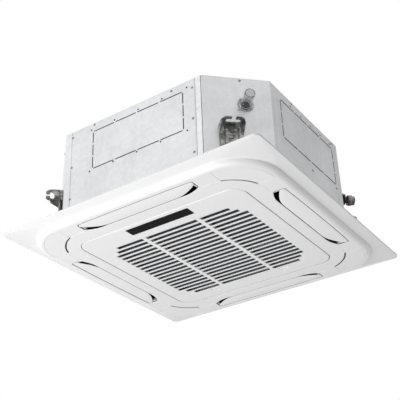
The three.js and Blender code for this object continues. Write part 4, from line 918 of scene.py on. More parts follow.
@dataclass
class CornerCover:
    """One corner cover, drawn on the front right corner: a quarter ring between two unlike arcs."""

    inner_half: float = 366.0
    inner_radius: float = 130.0
    outer_half: float = 416.0
    outer_radius: float = 128.0
    end: float = 283.0
    slit: float = 5.0
    steps: int = 28
    gap: float = 0.5
    thickness: float = 3.0
    edge: float = 0.7
    strip_insets: Place = (1.6, 0.2)  # how far inside the slit's outer side each edge lies
    crease_end: float = 222.0
    crease_width: float = 1.3

    @property
    def near(self) -> float:
        """How far the inner arcs' centre stands from the unit's centre, along X and along -Y."""
        return self.inner_half - self.inner_radius

    def start(self, end: float, radius: float) -> float:
        """The angle at which an inner arc of that radius meets the cover's end."""
        return math.asin((end - self.near) / radius)

    def inner_arc(self, radius: float, start: float) -> Array:
        """An inner arc that stops at that angle short of both axes."""
        return arc((self.near, -self.near), radius, -start, start - QUARTER, self.steps)

    def outline(self, clearance: float, slit: float) -> Array:
        """Closed outline with its edges drawn in by clearance and its inner arc moved out by slit."""
        radius = self.inner_radius + clearance + slit
        far = self.outer_half - self.outer_radius
        end = self.end + clearance
        inner = self.inner_arc(radius, self.start(end, radius))
        outer = arc((far, -far), self.outer_radius - clearance, -QUARTER, 0.0, self.steps)
        return np.concatenate([inner, [[end, outer[0, 1]]], outer, [[outer[-1, 0], -end]]])

    def slit_edge(self) -> Array:
        """Closed outline of the dark strip that paints the shade along the slit's outer side."""
        start = self.start(self.end, self.inner_radius) - 0.01
        radius = self.inner_radius + self.slit
        inner, outer = (self.inner_arc(radius - inset, start) for inset in self.strip_insets)
        return np.concatenate([inner, outer[::-1]])

    def creases(self) -> list[Array]:
        """Two faint creases that run on from the slit's ends to the outlets beside it."""
        radius = self.inner_radius
        start = self.start(self.end, radius)
        bent = arc((self.near, -self.near), radius, start - QUARTER - 0.02, -QUARTER, 8)
        path = np.concatenate([bent, [[self.crease_end, -self.near - radius]]])
        mirrored = np.stack([-path[:, 1], -path[:, 0]], axis=1)
        return [along_line(line, self.crease_width) for line in (path, mirrored)]

    def plate(self, face: float) -> Shells:
        """The cover itself, with softened edges."""
        outline = self.outline(self.gap, self.slit - self.gap)
        return Shells().slab(outline, [], face, face + self.thickness, self.edge)


@dataclass
class Panel:
    """The square moulding under the ceiling: rim, soft step, plateau, openings and the grille's recess."""

    half: float = 475.0
    corner: float = 18.0
    rim_edge: float = -6.0
    foot_level: float = -11.5
    foot_run: float = 5.0
    foot_drop: float = 1.6
    plateau: float = 438.0
    plateau_corner: float = 150.0
    face: float = -28.0
    step_run: float = 20.0
    skin: float = 3.0
    lip: float = 1.2
    cover_lip: float = 0.6
    crease: Place = (0.5, 0.8)  # how far its sides lean in, and its depth
    recess: float = 309.8
    recess_corner: float = 49.8
    recess_level: float = -13.0
    intake: float = 282.0
    intake_corner: float = 40.0
    collar_top: float = 16.0
    bay_half: float = 218.0
    bay_ends: Place = (-413.5, -350.0)  # along Y
    bay_corner: float = 3.0
    pocket_level: float = -21.0
    ribs: tuple[float, ...] = (-110.0, 0.0, 110.0)
    rib_ends: Place = (-348.0, -284.0)  # along Y
    rib_top: float = -6.0
    boss: tuple[float, float, float] = (322.0, 7.0, 3.2)  # place on both axes, radius and bore
    hinge: Place = HINGE
    hinge_radius: float = 2.3
    strip_insets: Place = (0.3, 1.4)  # how far inside the recess each edge of the gap's strip lies
    strip_end: float = 2.28  # how far that strip runs round from +Y, in radians, to both sides
    back_bound: Place = (420.0, 132.0)  # half side and corner radius
    outlet: Outlet = field(default_factory=Outlet)
    cover: CornerCover = field(default_factory=CornerCover)

    def outer_skin(self, shells: Shells) -> None:
        """Rim and soft step: rounded squares whose half side, corner and level follow one profile.

        From the rim's foot the step is a small hollow curve and then a quarter ellipse: its half side
        falls as plateau minus run times (1 - cosine) while its level drops by a sine.
        """
        inner, inner_corner = self.back_bound
        low = self.rim_edge
        profile = [(inner, inner_corner, self.face + self.skin), (inner, inner_corner, 0.0)]
        rim = ((0.6, 0.0), (0.0, -0.6), (0.0, low + 1.4), (0.4, low + 0.4), (1.6, low))
        profile += [(self.half - inset, self.corner, level) for inset, level in rim]
        for t in np.linspace(0.0, 1.0, 6):
            level = self.foot_level - self.foot_drop * t**2
            profile.append((self.plateau + self.foot_run * (1 - t), self.plateau_corner, level))
        drop = self.face - level
        for turn in np.linspace(0.0, QUARTER, 12)[1:]:
            run = self.step_run * (1 - math.cos(turn))
            profile.append((self.plateau - run, self.plateau_corner - run, level + drop * math.sin(turn)))
        shells.sheet(np.stack([ring(*row) for row in profile]), around=True)

    def face_and_holes(self, shells: Shells) -> None:
        """Flat faces below and above, and the walls of every opening between them."""
        top = self.face + self.skin
        lips = [(rounded_square(self.recess, self.recess_corner), self.lip)]
        creases = []
        for k in range(4):
            lips.append((turned_by(self.outlet.opening(), k * QUARTER), self.lip))
            lips.append((turned_by(self.cover.outline(0.0, 0.0), k * QUARTER), self.cover_lip))
            creases += [turned_by(line, k * QUARTER) for line in self.cover.creases()]
        for loop, edge in lips:
            shells.soft_wall(loop, (edge, edge), (self.face, top), 5)
        run, rise = self.crease
        for line in creases:
            shells.lift(line, [0.0, -run], [self.face, self.face + rise])
            shells.flat([grown(line, -run)], self.face + rise)
        bounds = [rounded_square(self.plateau - self.step_run, self.plateau_corner - self.step_run)]
        bounds += [grown(loop, edge) for loop, edge in lips] + creases
        shells.flat(bounds, self.face)
        shells.flat([rounded_square(*self.back_bound), *(loop for loop, _ in lips)], top)

    def recess_and_collar(self, shells: Shells) -> None:
        """Recess of the grille and the collar round the intake: one closed profile of rounded squares."""
        recess, intake = (self.recess, self.recess_corner), (self.intake, self.intake_corner)
        top, low, wall = self.recess_level, self.face + self.skin - 0.2, self.skin
        profile = [
            (recess, 0.0, low),
            (recess, 0.0, top - 1),
            (recess, -1.0, top),
            (intake, 1.5, top),
            (intake, 0.0, top + 1.5),
            (intake, 0.0, self.collar_top),
            (intake, wall, self.collar_top),
            (intake, wall, top + wall),
            (recess, wall, top + wall),
            (recess, wall, low),
        ]
        rows = [ring(half + grow, radius + grow, level) for (half, radius), grow, level in profile]
        shells.sheet(np.stack(rows), around=True, closed=True)

    def gap_strip(self) -> Array:
        """Closed outline of the dark strip that paints the shade in the grille's gap, which leaves the hinge
        side free.
        """
        edges = []
        for inset in self.strip_insets:
            loop = rounded_square(self.recess - inset, self.recess_corner - inset)
            angle = np.arctan2(loop[:, 0], loop[:, 1])
            order = np.argsort(angle)
            edges.append(loop[order[np.abs(angle[order]) < self.strip_end]])
        return np.concatenate([edges[0], edges[1][::-1]])[::-1]

    def bay(self, inset: float, radius: float) -> Array:
        """Plan of the front outlet's bay, drawn in by inset."""
        far, near = self.bay_ends
        return rectangle(-self.bay_half + inset, self.bay_half - inset, far + inset, near - inset, radius)

    def painted_shade(self) -> None:
        """Near-black pieces that paint the shade in the bays, under the corner covers, round the louvers, along
        the slits and in the grille's gap.
        """
        low, dark = self.face + self.skin, Shells()
        slot = self.outlet.opening()
        # each slab here is painted shade: in the bay, under the cover, round the louver opening and along the
        # slit
        side = Shells().slab(self.bay(0.1, 3.0), [self.bay(1.4, 2.0)], low + 0.1, self.collar_top - 0.2)
        side.slab(self.cover.outline(-3.0, 0.0), [], low + 0.3, self.pocket_level)
        side.slab(grown(slot, -0.2), [grown(slot, -1.6)], self.face + 0.8, low + 0.05)
        side.slab(self.cover.slit_edge(), [], self.face + 0.3, low + 0.2)
        dark.on_all_sides(side)
        # a dark strip in the grille's gap paints its shade
        dark.slab(self.gap_strip(), [], self.face + 0.9, low - 0.3)
        dark.piece("panel_painted_shade", Look.DARK, "body")

    def inner_walls(self, shells: Shells) -> None:
        """Outlet bays, ribs and screw bosses, behind the face."""
        low, corner = self.face + self.skin, self.bay_corner
        wall = self.bay(-self.skin, corner + self.skin)
        side = Shells().slab(wall, [self.bay(0.0, corner)], low, self.collar_top)
        for x in self.ribs:
            side.slab(rectangle(x - 1.25, x + 1.25, *self.rib_ends), [], low, self.rib_top)
        place, radius, bore = self.boss
        hole = disc((place, -place), bore, 16)
        side.slab(disc((place, -place), radius, 24), [hole], self.pocket_level, self.collar_top)
        shells.on_all_sides(side)

    def hinge_ears(self, shells: Shells) -> None:
        """Two ears for each hinge pin, hanging from the recess."""
        (y, z), radius, top = self.hinge, self.hinge_radius, self.recess_level + 1
        nose = arc((y, z), radius, math.pi, FULL, 10)
        ear = np.concatenate([nose, [[y + 2 * radius, top], [y - radius, top]]])
        for x in (-HINGE_PLACE, HINGE_PLACE):
            for side in (-1.0, 1.0):
                shells.rod(ear, x + side * 7, x + side * 11)

    def build(self) -> None:
        """Makes the frame, the four louvers and the four corner covers."""
        shells = Shells()
        self.outer_skin(shells)
        self.face_and_holes(shells)
        self.recess_and_collar(shells)
        self.inner_walls(shells)
        self.hinge_ears(shells)
        shells.piece("panel_moulding", Look.PANEL, "body", ["panel_frame"])
        self.painted_shade()
        for k, side in enumerate(("front", "right", "back", "left")):
            blade = Shells().merged(self.outlet.louver(), turned_copy(k * QUARTER))
            blade.piece(f"louver_blade_{side}", Look.LOUVER, f"louver_{side}", [f"louver_{side}"])
        for k, corner in enumerate(("front_right", "back_right", "back_left", "front_left")):
            plate = Shells().merged(self.cover.plate(self.face), turned_copy(k * QUARTER))
            plate.piece(f"cover_plate_{corner}", Look.PANEL, "body", [f"corner_cover_{corner}"])


# ------------------------------------------------------------------ the grille


@dataclass
class Grille:
    """Intake grille: a soft-edged skin with three columns of slots, and a slat that curls up behind each."""

    half: float = 308.0
    corner: float = 48.0
    face: float = -28.5
    skin: float = 3.0
    edge: Place = (3.4, 2.8)  # run and rise
    wall: float = 12.0
    wall_inset: float = 1.3
    wall_sheet: float = 2.4
    rows: int = 19
    pitch: float = 24.5
    centre: float = 6.0
    length: float = 253.0
    shorter: float = 19.0
    land: float = 6.5
    undercut: float = 4.3
    curve: float = 14.0
    curl: float = 1.0
    thickness: float = 1.8
    columns: Place = (104.0, 13.0)  # place along X, and width
    rail: Place = (257.5, 200.0)  # place along X, and reach along Y
    display: tuple[float, float, float] = (118.0, -292.0, -252.0)  # reach along X, then both ends along Y
    display_gap: float = 0.3
    latch: Place = (142.0, 262.0)  # X and Y
    latch_window: tuple[float, float, float] = (17.5, 14.0, 8.0)  # reach along X, and both ways along Y
    latch_gap: float = 11.5
    pad: Place = (17.0, 7.5)  # reach along X and along Y
    cup: Place = (12.5, 4.5)  # reach along X and along Y
    tongue_tip: float = 307.5
    hinge: Place = HINGE
    pocket: tuple[float, float, float] = (14.0, -305.5, -288.5)  # reach along X, then both ends along Y

    @property
    def top(self) -> float:
        """Level of the skin's back."""
        return self.face + self.skin

    def slots(self) -> list[tuple[float, float, float]]:
        """Start, end and front of each slot: every row is cut in three by the columns."""
        place, width = self.columns
        near, far = place - width / 2, place + width / 2
        found = []
        for row in range(self.rows):
            front = self.centre + (row - self.rows / 2) * self.pitch
            half = self.length - self.shorter * max(2 - min(row, self.rows - 1 - row), 0)
            found += [(-half, -far, front), (-near, near, front), (far, half, front)]
        return found

    def slat_section(self) -> Array:
        """Section of a slat in Y and Z from the end of its land: two arcs about one centre, one wall apart."""
        turn = np.linspace(0.0, self.curl, 10)
        lower = np.stack([self.curve * np.sin(turn), self.curve * (1 - np.cos(turn))], axis=1)
        inner = self.curve - self.thickness
        upper = np.stack([inner * np.sin(turn), self.curve - inner * np.cos(turn)], axis=1)
        root = np.array([[-1.6, self.thickness], [-1.6, 1.2]])
        return np.concatenate([lower, upper[::-1], root])

    def windows(self) -> list[Array]:
        """Outlines of the display's window and of the latches' two."""
        (half, low, high), gap = self.display, self.display_gap
        found = [rectangle(-half - gap, half + gap, low - gap, high + gap, 3.0)]
        place, level = self.latch
        reach, below, above = self.latch_window
        for x in (-place, place):
            found.append(rectangle(x - reach, x + reach, level - below, level + above, 2.0))
        return found

    def skin_and_slats(self, shells: Shells) -> None:
        """Face with its slots, windows, pockets and softened edge, and the slats behind it."""
        holes, upper, section = [], [], self.slat_section()
        for start, end, front in self.slots():
            low, far = front + self.land, front + self.pitch
            hole, above = rectangle(start, end, low, far), rectangle(start, end, low, far + self.undercut)
            shells.sheet(np.stack([at_level(hole, self.face), at_level(above, self.top)]), around=True)
            holes.append(hole)
            upper.append(above)
            shells.rod(section + np.array([low, self.face]), start - 0.8, end + 0.8)
        windows = self.windows()
        outer = rounded_square(self.half, self.corner)
        run, rise = self.edge
        shells.soft_wall(outer, (-run, rise), (self.face, self.top), 6)
        for window in windows:
            shells.lift(window, [0.0, 0.0], [self.face, self.top])
        reach, low, high = self.pocket
        pockets = [rectangle(x - reach, x + reach, low, high) for x in (-HINGE_PLACE, HINGE_PLACE)]
        floor = self.face + 0.9
        for pocket in pockets:
            shells.lift(pocket, [0.0, 0.0], [floor, self.top])
            shells.flat([pocket], floor)
        shells.flat([grown(outer, -run), *holes, *windows], self.face)
        shells.flat([outer, *upper, *windows, *pockets], self.top)

    def upstand(self, shells: Shells) -> None:
        """Wall that stands up inside the edge, with gaps at the hinges and the latches."""
        high = self.face + self.wall
        middle, sheet = self.half - self.wall_inset, self.wall_sheet
        latch, hinge = self.latch[0], HINGE_PLACE
        left = np.split(rounded_square(middle, self.corner - self.wall_inset), 4)[1:3]
        first, last = [[-latch - self.latch_gap, middle]], [[-hinge - self.pocket[0], -middle]]
        way = np.concatenate([first, *left, last])
        for points in (way, way * np.array([-1.0, 1.0])):
            shells.slab(along_line(points, sheet), [], self.top - 0.4, high)
        for y, reach in ((-middle, hinge - self.pocket[0]), (middle, latch - self.latch_gap)):
            shells.slab(block(0.0, y, reach, sheet / 2), [], self.top - 0.4, high)

    def back_walls(self, shells: Shells) -> None:
        """Columns, rails, hinge knuckles and the display's bezel."""
        top, high = self.top, self.face + self.wall
        place, width = self.columns
        rail, rail_reach = self.rail
        y, z = self.hinge
        low = self.face + 0.5
        knuckle = np.array([[y - 3, low], [y + 8, low], [y + 3, z + 3], [y - 2.5, z + 3]])
        for side in (-1.0, 1.0):
            column = block(side * place, self.centre, width / 2, self.rows * self.pitch / 2)
            shells.slab(column, [], top - 0.5, high - 1)
            shells.slab(block(side * rail, 0.0, 2.0, rail_reach), [], top - 0.5, high - 0.3)
            shells.rod(knuckle, side * HINGE_PLACE - 6, side * HINGE_PLACE + 6)
        x, low, far = self.display
        sight = rectangle(-x + 6, x - 6, low + 6, far - 6, 2.0)
        shells.slab(rectangle(-x - 4, x + 4, low - 4, far + 4, 3.0), [sight], top - 0.2, top + 2.5)

    def latches(self) -> None:
        """Sliders with a hollowed finger pad, each with its tongue."""
        face, top = self.face, self.top
        for name, side in (("left", -1.0), ("right", 1.0)):
            x, y = side * self.latch[0], self.latch[1]
            pad, cup = block(x, y, *self.pad, 2.0), block(x, y, *self.cup, 3.5)
            shells = Shells().slab(pad, [cup], face, face + 1.5, 0.5)
            shells.slab(pad, [], face + 1.4, top + 0.6)
            for rib in (-5.0, 0.0, 5.0):
                shells.slab(block(x + rib, y, 0.5, 3.5, 0.4), [], face + 0.3, face + 1.6, 0.3)
            shells.slab(rectangle(x - 20, x + 20, y - 13.5, y + 11.5, 1.0), [], top + 0.3, top + 3)
            shells.slab(rectangle(x - 10, x + 10, y + 7.5, self.tongue_tip, 1.0), [], top + 0.5, top + 3)
            shells.piece(f"latch_slider_{name}", Look.PANEL, f"latch_{name}", [f"grille_latch_{name}"])

    def build(self) -> None:
        """Makes the grille, its latches and the display window."""
        shells = Shells()
        self.skin_and_slats(shells)
        self.upstand(shells)
        self.back_walls(shells)
        shells.piece("grille_moulding", Look.PANEL, "grille", ["intake_grille"])
        self.latches()
        x, low, high = self.display
        window = Shells().slab(rectangle(-x, x, low, high, 2.6), [], self.face, self.face + 2.6, 0.6)
        window.piece("display_glass", Look.WINDOW, "grille", ["display_window"])


# ------------------------------------------------------------------ above the ceiling


class Corner(Enum):
    """The casing's corners: each one's quarter turn, the cut across it and the side that its bolt leans to."""

    FRONT_RIGHT = (0, 150.0, 1.0)
    BACK_RIGHT = (1, 240.0, -1.0)
    BACK_LEFT = (2, 155.0, 1.0)
    FRONT_LEFT = (3, 155.0, -1.0)

    @property
    def turn(self) -> float:
        """The corner's own turn about Z: its outward way is then -Y."""
        return self.value[0] * QUARTER + EIGHTH

    @property
    def plane(self) -> float:
        """How far the chamfer stands from the unit's centre."""
        return (2 * CASING_HALF - self.value[1]) / math.sqrt(2)

    def on_face(self, side: float, level: float, out: float = 0.0) -> Move:
        """A move onto the chamfer, out from its face."""
        return on_wall(self.plane + out, side, level, self.turn)


def eased(points: Sequence[Sequence[float]], run: float, steps: int = 5) -> Array:
    """An open path with a parabola of that run in place of each bend."""
    path = np.asarray(points, float)
    parts = [path[:1]]
    for before, at, after in zip(path, path[1:], path[2:]):
        near = at + (before - at) * min(run / np.linalg.norm(before - at), 0.5)
        far = at + (after - at) * min(run / np.linalg.norm(after - at), 0.5)
        parts.append(bend(near, at, far, steps))
    return np.concatenate([*parts, path[-1:]])


def screw_head(radius: float = 4.2, height: float = 2.0) -> Shells:
    """Washer-faced screw head with a crossed recess, standing up from level 0.

    The dome is a quarter ellipse of radius and level: r = radius sin a, z = 0.8 + (height - 0.8) cos a.
    """
    tilt = np.linspace(QUARTER, 0.25, 6)
    dome = [(radius * 0.8 * math.sin(a), 0.8 + (height - 0.8) * math.cos(a)) for a in tilt]
    profile = [(0.0, -0.6), (radius, -0.6), (radius, 0.6), (radius * 0.94, 0.8), *dome, (0.0, height)]
    return Shells().turned(profile, 20)


@dataclass
class HangerBracket:
    """Pressed bracket on a chamfer: a channel against the face and a forked jaw that takes the bolt."""

    corner: Corner
    bolt: Place = (350.0, 384.0)  # in plan, from the unit's centre
    channel: float = 46.0
    lip: float = 11.0
    stand: float = 12.0
    sheet: float = 3.0
    jaw_level: float = 138.0
    jaw_width: float = 73.0
    jaw_tip: float = 20.0
    slot: Place = (36.0, 14.0)  # length and width
    gap: float = 12.0
    low: float = 26.0
    bar_level: float = 110.0
    mark_level: float = 98.0
    screw_side: float = 14.0
    screw_levels: Place = (127.0, 44.0)

    @property
    def shift(self) -> float:
        """Where the bracket's middle is along the chamfer."""
        return self.corner.value[2] * (self.bolt[0] - self.bolt[1]) / math.sqrt(2)

    @property
    def reach(self) -> float:
        """How far the bolt is from the unit's centre."""
        return sum(self.bolt) / math.sqrt(2)

    @property
    def back(self) -> float:
        """How far the bracket's back is from the unit's centre: the wide corner has a plate between."""
        return self.corner.plane + (1.6 if self.corner is Corner.BACK_RIGHT else 0.3)

    def jaw(self) -> Array:
        """Plan of the jaw: its sides lean in near the tip, and the slot opens through it."""
        half, tip, root = self.jaw_width / 2, -self.reach - self.jaw_tip, -self.back
        near, far = -self.reach + self.slot[1] / 2, -self.reach - self.slot[1] / 2
        middle, radius, end = (near + far) / 2, self.slot[1] / 2, self.slot[0] / 2 - 3
        left = [
            np.array([[-half, root], [-half, -self.reach + 4]]),
            bend((-half, -self.reach + 4), (-half + 3, tip), (-half + 18, tip), 8)[1:],
            eased([(-half + 18, tip), (-self.gap / 2, tip), (-self.gap / 2, far), (-end, far)], 2.0, 4)[1:],
            arc((-end, middle), radius, -QUARTER, -3 * QUARTER, 12)[1:],
        ]
        points = np.concatenate(left)
        return np.concatenate([points, (points * np.array([-1.0, 1.0]))[::-1]])

    def steel(self) -> Shells:
        """Channel with soft bends, jaw, gussets, the weld flange and the pressed bar."""
        made = Shells()
        half, wall = self.channel / 2, self.sheet / 2
        front, back = -self.back - self.stand + wall, -self.back - wall
        path = [(-half - self.lip, front), (-half, front), (-half + 3, back)]
        path += [(-x, y) for x, y in path[::-1]]
        made.slab(along_line(eased(path, 4.0), self.sheet), [], self.low, self.jaw_level + 0.5, 0.6)
        made.slab(self.jaw(), [], self.jaw_level, self.jaw_level + self.sheet, 0.8)
        drop = 0.45 * (self.reach - self.back) + 8
        root, tip, top = -self.back - 2, -self.reach - 6, self.jaw_level + 1
        corners = [(root, top), (root, top - drop - 15), (root - 10, top - drop - 1)]
        gusset = eased([*corners, (tip, top - 7), (tip, top), (root, top)], 4.0, 4)[:-1]
        edge = self.jaw_width / 2
        for side in (-1.0, 1.0):
            inner = side * (edge - self.sheet)
            made.rod(gusset, min(side * edge, inner), max(side * edge, inner))
        bar = Shells().slab(block(0.0, 0.0, 11.0, 2.2, 2.1), [], -3.0, 2.2)
        made.merged(bar, on_wall(self.back + self.sheet, 0.0, self.bar_level))
        return made

    def build(self) -> None:
        """Makes the bracket, its screws and a dark arc under them that paints the shade of a slot."""
        name = self.corner.name.lower()
        turned = turned_copy(self.corner.turn, (self.shift, 0.0, 0.0))
        Shells().merged(self.steel(), turned).piece(
            f"bracket_pressing_{name}", Look.BRACKET, "body", [f"hanger_bracket_{name}"]
        )
        screws, dark = Shells(), Shells()
        face = self.back - self.corner.plane + self.sheet
        for side in (-self.screw_side, self.screw_side):
            for level in self.screw_levels:
                screws.merged(screw_head(4.4, 2.6), self.corner.on_face(self.shift + side, level, face))
        # a thin dark arc on the bracket's face paints the shade of a slot
        smile = along_line(arc((0.0, 9.0), 11.0, -QUARTER - 0.8, -QUARTER + 0.8, 12), 2.4)
        mark = Shells().slab(smile, [], 0.0, 0.15)
        dark.merged(mark, self.corner.on_face(self.shift, self.mark_level, face))
        screws.piece(f"bracket_screws_{name}", Look.STEEL, "body")
        dark.piece(f"bracket_slot_shade_{name}", Look.DARK, "body")


@dataclass
class DrainStub:
    """Clear drain socket with its screwed flange, on the front right chamfer."""

    corner: Corner = Corner.FRONT_RIGHT
    side: float = 25.0
    level: float = 222.0
    radius: float = 16.0
    wall: float = 2.0
    length: float = 61.0
    depth: float = 26.0
    flange: float = 25.0
    screws: tuple[Place, ...] = ((10.0, 242.0), (43.0, 209.0), (5.0, 205.0))

    def build(self) -> None:
        """Makes the tube and its flange in clear plastic, the flange's screws and a dark disc that paints the
        shade inside the tube.
        """
        move = self.corner.on_face(self.side, self.level)
        outer, inner = self.radius, self.radius - self.wall
        end = self.length
        tube = [(inner, -self.depth), (outer, -self.depth), (outer, end - 7), (outer - 0.5, end - 6)]
        tube += [(outer - 0.5, end - 1), (outer - 1.0, end), (inner + 0.4, end), (inner, end - 0.6)]
        Shells().merged(Shells().turned(tube, 64, closed=True), move).piece(
            "drain_socket", Look.CLEAR, "body", ["drain_outlet"]
        )
        bore, rim = outer + 0.3, self.flange
        collar = [(bore, 0.3), (rim - 0.5, 0.3), (rim, 0.8), (rim, 2.2), (rim - 0.6, 2.6), (outer + 4.5, 2.8)]
        collar += [(outer + 3.4, 3.6), (outer + 2.8, 6.6), (outer + 2.4, 7.0), (bore, 7.0)]
        Shells().merged(Shells().turned(collar, 64, closed=True), move).piece(
            "drain_collar", Look.CLEAR, "body", ["drain_flange"]
        )
        screws = Shells()
        for side, level in self.screws:
            screws.merged(screw_head(3.4, 2.0), self.corner.on_face(side, level, 2.6))
        screws.piece("drain_collar_screws", Look.STEEL, "body")
        plug = Shells().turned([(0.0, -1.0), (inner - 0.3, -1.0), (inner - 0.3, 0.0), (0.0, 0.0)], 32)
        Shells().merged(plug, move).piece("drain_socket_shadow", Look.DARK, "body")


@dataclass
class FlareNut:
    """Flare nut with its bonnet: a chamfered hexagon, a round collar and a domed end."""

    name: str
    side: float
    level: float
    across: float
    length: float
    stub: float
    corner: Corner = Corner.BACK_RIGHT
    hexagon_share: float = 0.55  # of the nut's length
    dome_share: float = 0.1  # of the nut's length
    chamfer: float = 3.0

    def build(self) -> None:
        """Makes the nut over its solid: a hexagon, a collar and a dome.

        Each row's radius is the lesser of the profile's and the hexagon's, which is flat / cos a, with a
        the angle from the middle of the nearest flat. A row is a circle where the profile is the lesser.
        The dome is a quarter ellipse.
        """
        start = self.stub + 0.3
        turn = np.linspace(0.0, FULL, 72, endpoint=False)
        flat = self.across / 2
        hexagon = flat / np.cos((turn + math.pi / 6) % (math.pi / 3) - math.pi / 6)
        cap = flat * 2 / math.sqrt(3)
        hex_end = start + self.length * self.hexagon_share
        base, rise = start + self.length * (1 - self.dome_share), self.length * self.dome_share
        rows = [(0.0, start), (flat * 0.94, start), (cap, start + self.chamfer), (cap, hex_end - self.chamfer)]
        rows += [(flat * 0.96, hex_end), (flat * 0.86, hex_end + 0.3), (flat * 0.86, base)]
        tilt = np.linspace(QUARTER, 0.1, 6)
        rows += [(flat * 0.84 * math.sin(a), base + rise * math.cos(a)) for a in tilt] + [(0.0, base + rise)]
        radius, level = np.array(rows).T
        nut = Shells().sheet(about_z(np.minimum(radius[:, None], hexagon), level, turn), around=True)
        Shells().merged(nut, self.corner.on_face(self.side, self.level)).piece(
            f"{self.name}_bonnet", Look.NUT, "body", [f"{self.name}_flare_nut"], 40.0
        )


@dataclass
class CasingFasteners:
    """Screws, the front's bent edge with its painted highlight and shade, and punched holes and knock-out cuts
    drawn as dark painted shade, on the casing.

    The front and back have the front's screws, and the right and left have the right's.
    """

    front: tuple[Place, ...] = (
        (-145.0, 313.0), (160.0, 309.0), (-236.0, 298.0), (236.0, 288.0),
        (-236.0, 184.0), (236.0, 176.0), (-238.0, 68.0), (236.0, 58.0),
    )
    right: tuple[Place, ...] = ((-135.0, 313.0), (140.0, 308.0), (-30.0, 118.0), (140.0, 133.0))
    chamfer: Place = (12.0, 311.0)  # side and level of the chamfer's screw
    holes_high: tuple[float, ...] = (-157.0, -62.0, 32.0, 124.0, 217.0)
    holes_low: tuple[float, ...] = (-160.0, -65.0, 27.0, 117.0, 214.0)
    hole_levels: Place = (297.0, 142.0)
    right_level: float = 299.0
    knockouts: Place = (26.5, -35.0)  # their middles, on the front and on the right
    knockout_level: float = 218.0
    knockout: Place = (175.0, 70.0)  # reach along the wall, and up
    row_cuts: Place = (87.5, 80.5)  # pitch and length
    column_cuts: Place = (46.667, 39.667)  # pitch and length
    half_bridge: float = 3.5  # half the sheet that is left between two cuts
    cut_width: float = 3.2
    backing: float = 6.0  # how far the dark frame reaches on both sides of the cuts
    fold: Place = (248.0, 267.0)  # both sides of the bent edge
    fold_levels: Place = (21.0, 319.0)

    def cuts(self, middle: float) -> list[Array]:
        """Outlines of the dark strips that paint the shade in the cuts round one knock-out: four along each
        row, three up each column.
        """
        found = []
        (reach_x, reach_y), half = self.knockout, self.cut_width / 2
        for edge in (-1.0, 1.0):
            row, column = self.knockout_level + edge * reach_y, middle + edge * reach_x
            pitch, length = self.row_cuts
            for i in range(4):
                start = middle - reach_x + i * pitch + self.half_bridge
                found.append(rectangle(start, start + length, row - half, row + half))
            pitch, length = self.column_cuts
            for i in range(3):
                start = self.knockout_level - reach_y + i * pitch + self.half_bridge
                found.append(rectangle(column - half, column + half, start, start + length))
        return found

    def bent_edge(self) -> None:
        """Bent edge at the right end of the front, drawn as a strip of painted highlight, with a line of
        painted shade on both sides of it.
        """
        (low, high), joints = self.fold, Shells()
        front = on_wall(CASING_HALF, 0.0)
        strip = Shells().slab(rectangle(low, high, *self.fold_levels, 0.4), [], 0.1, 0.7)
        # thin dark slabs on both sides of the strip paint the shade along the bend
        for x in (low - 1.3, high + 0.2):
            joints.slab(rectangle(x, x + 1.1, *self.fold_levels), [], 0.1, 0.5)
        Shells().merged(strip, front).piece("front_edge_highlight", Look.FLANGE, "body")
        Shells().merged(joints, front).piece("front_bend_shade_lines", Look.DARK, "body")

    def screws(self) -> None:
        """Screws of all sides and chamfers."""
        made = Shells()
        for k, places in enumerate((self.front, self.right, self.front, self.right)):
            for side, level in places:
                made.merged(screw_head(), on_wall(CASING_HALF, side, level, k * QUARTER))
        for corner in Corner:
            made.merged(screw_head(), corner.on_face(*self.chamfer))
        made.piece("casing_screws", Look.SCREW, "body")

    def painted_shade_marks(self) -> None:
        """Dark dots that paint the shade in the punched holes, and dark strips with a dark frame inside the
        sheet that paint the shade in the knock-outs' cuts.
        """
        made = Shells()
        # dark discs on the sheet paint the shade in the punched holes
        dot = Shells().turned([(0.0, 0.15), (3.0, 0.15), (3.0, -0.3), (0.0, -0.3)], 20)
        high, low = self.hole_levels
        for side in self.holes_high:
            made.merged(dot, on_wall(CASING_HALF, side, high))
            made.merged(dot, on_wall(CASING_HALF, side * 0.72 - 30, self.right_level, QUARTER))
        for side in self.holes_low:
            made.merged(dot, on_wall(CASING_HALF, side, low))
        reach_x, reach_y = self.knockout
        for k, middle in enumerate(self.knockouts):
            marks = Shells()
            for strip in self.cuts(middle):
                marks.slab(strip, [], 0.05, 0.25)
            outer, inner = (
                block(middle, self.knockout_level, reach_x + more, reach_y + more)
                for more in (self.backing, -self.backing)
            )
            # a dark frame just inside the sheet paints the shade seen through the cuts
            marks.slab(outer, [inner], -1.7, -1.2)
            made.merged(marks, on_wall(CASING_HALF, 0.0, 0.0, k * QUARTER))
        made.piece("casing_painted_shade", Look.DARK, "body")

    def build(self) -> None:
        """Makes the bent edge's painted highlight, the screws and the painted shade marks."""
        self.bent_edge()
        self.screws()
        self.painted_shade_marks()


# ------------------------------------------------------------------ light, floor and camera


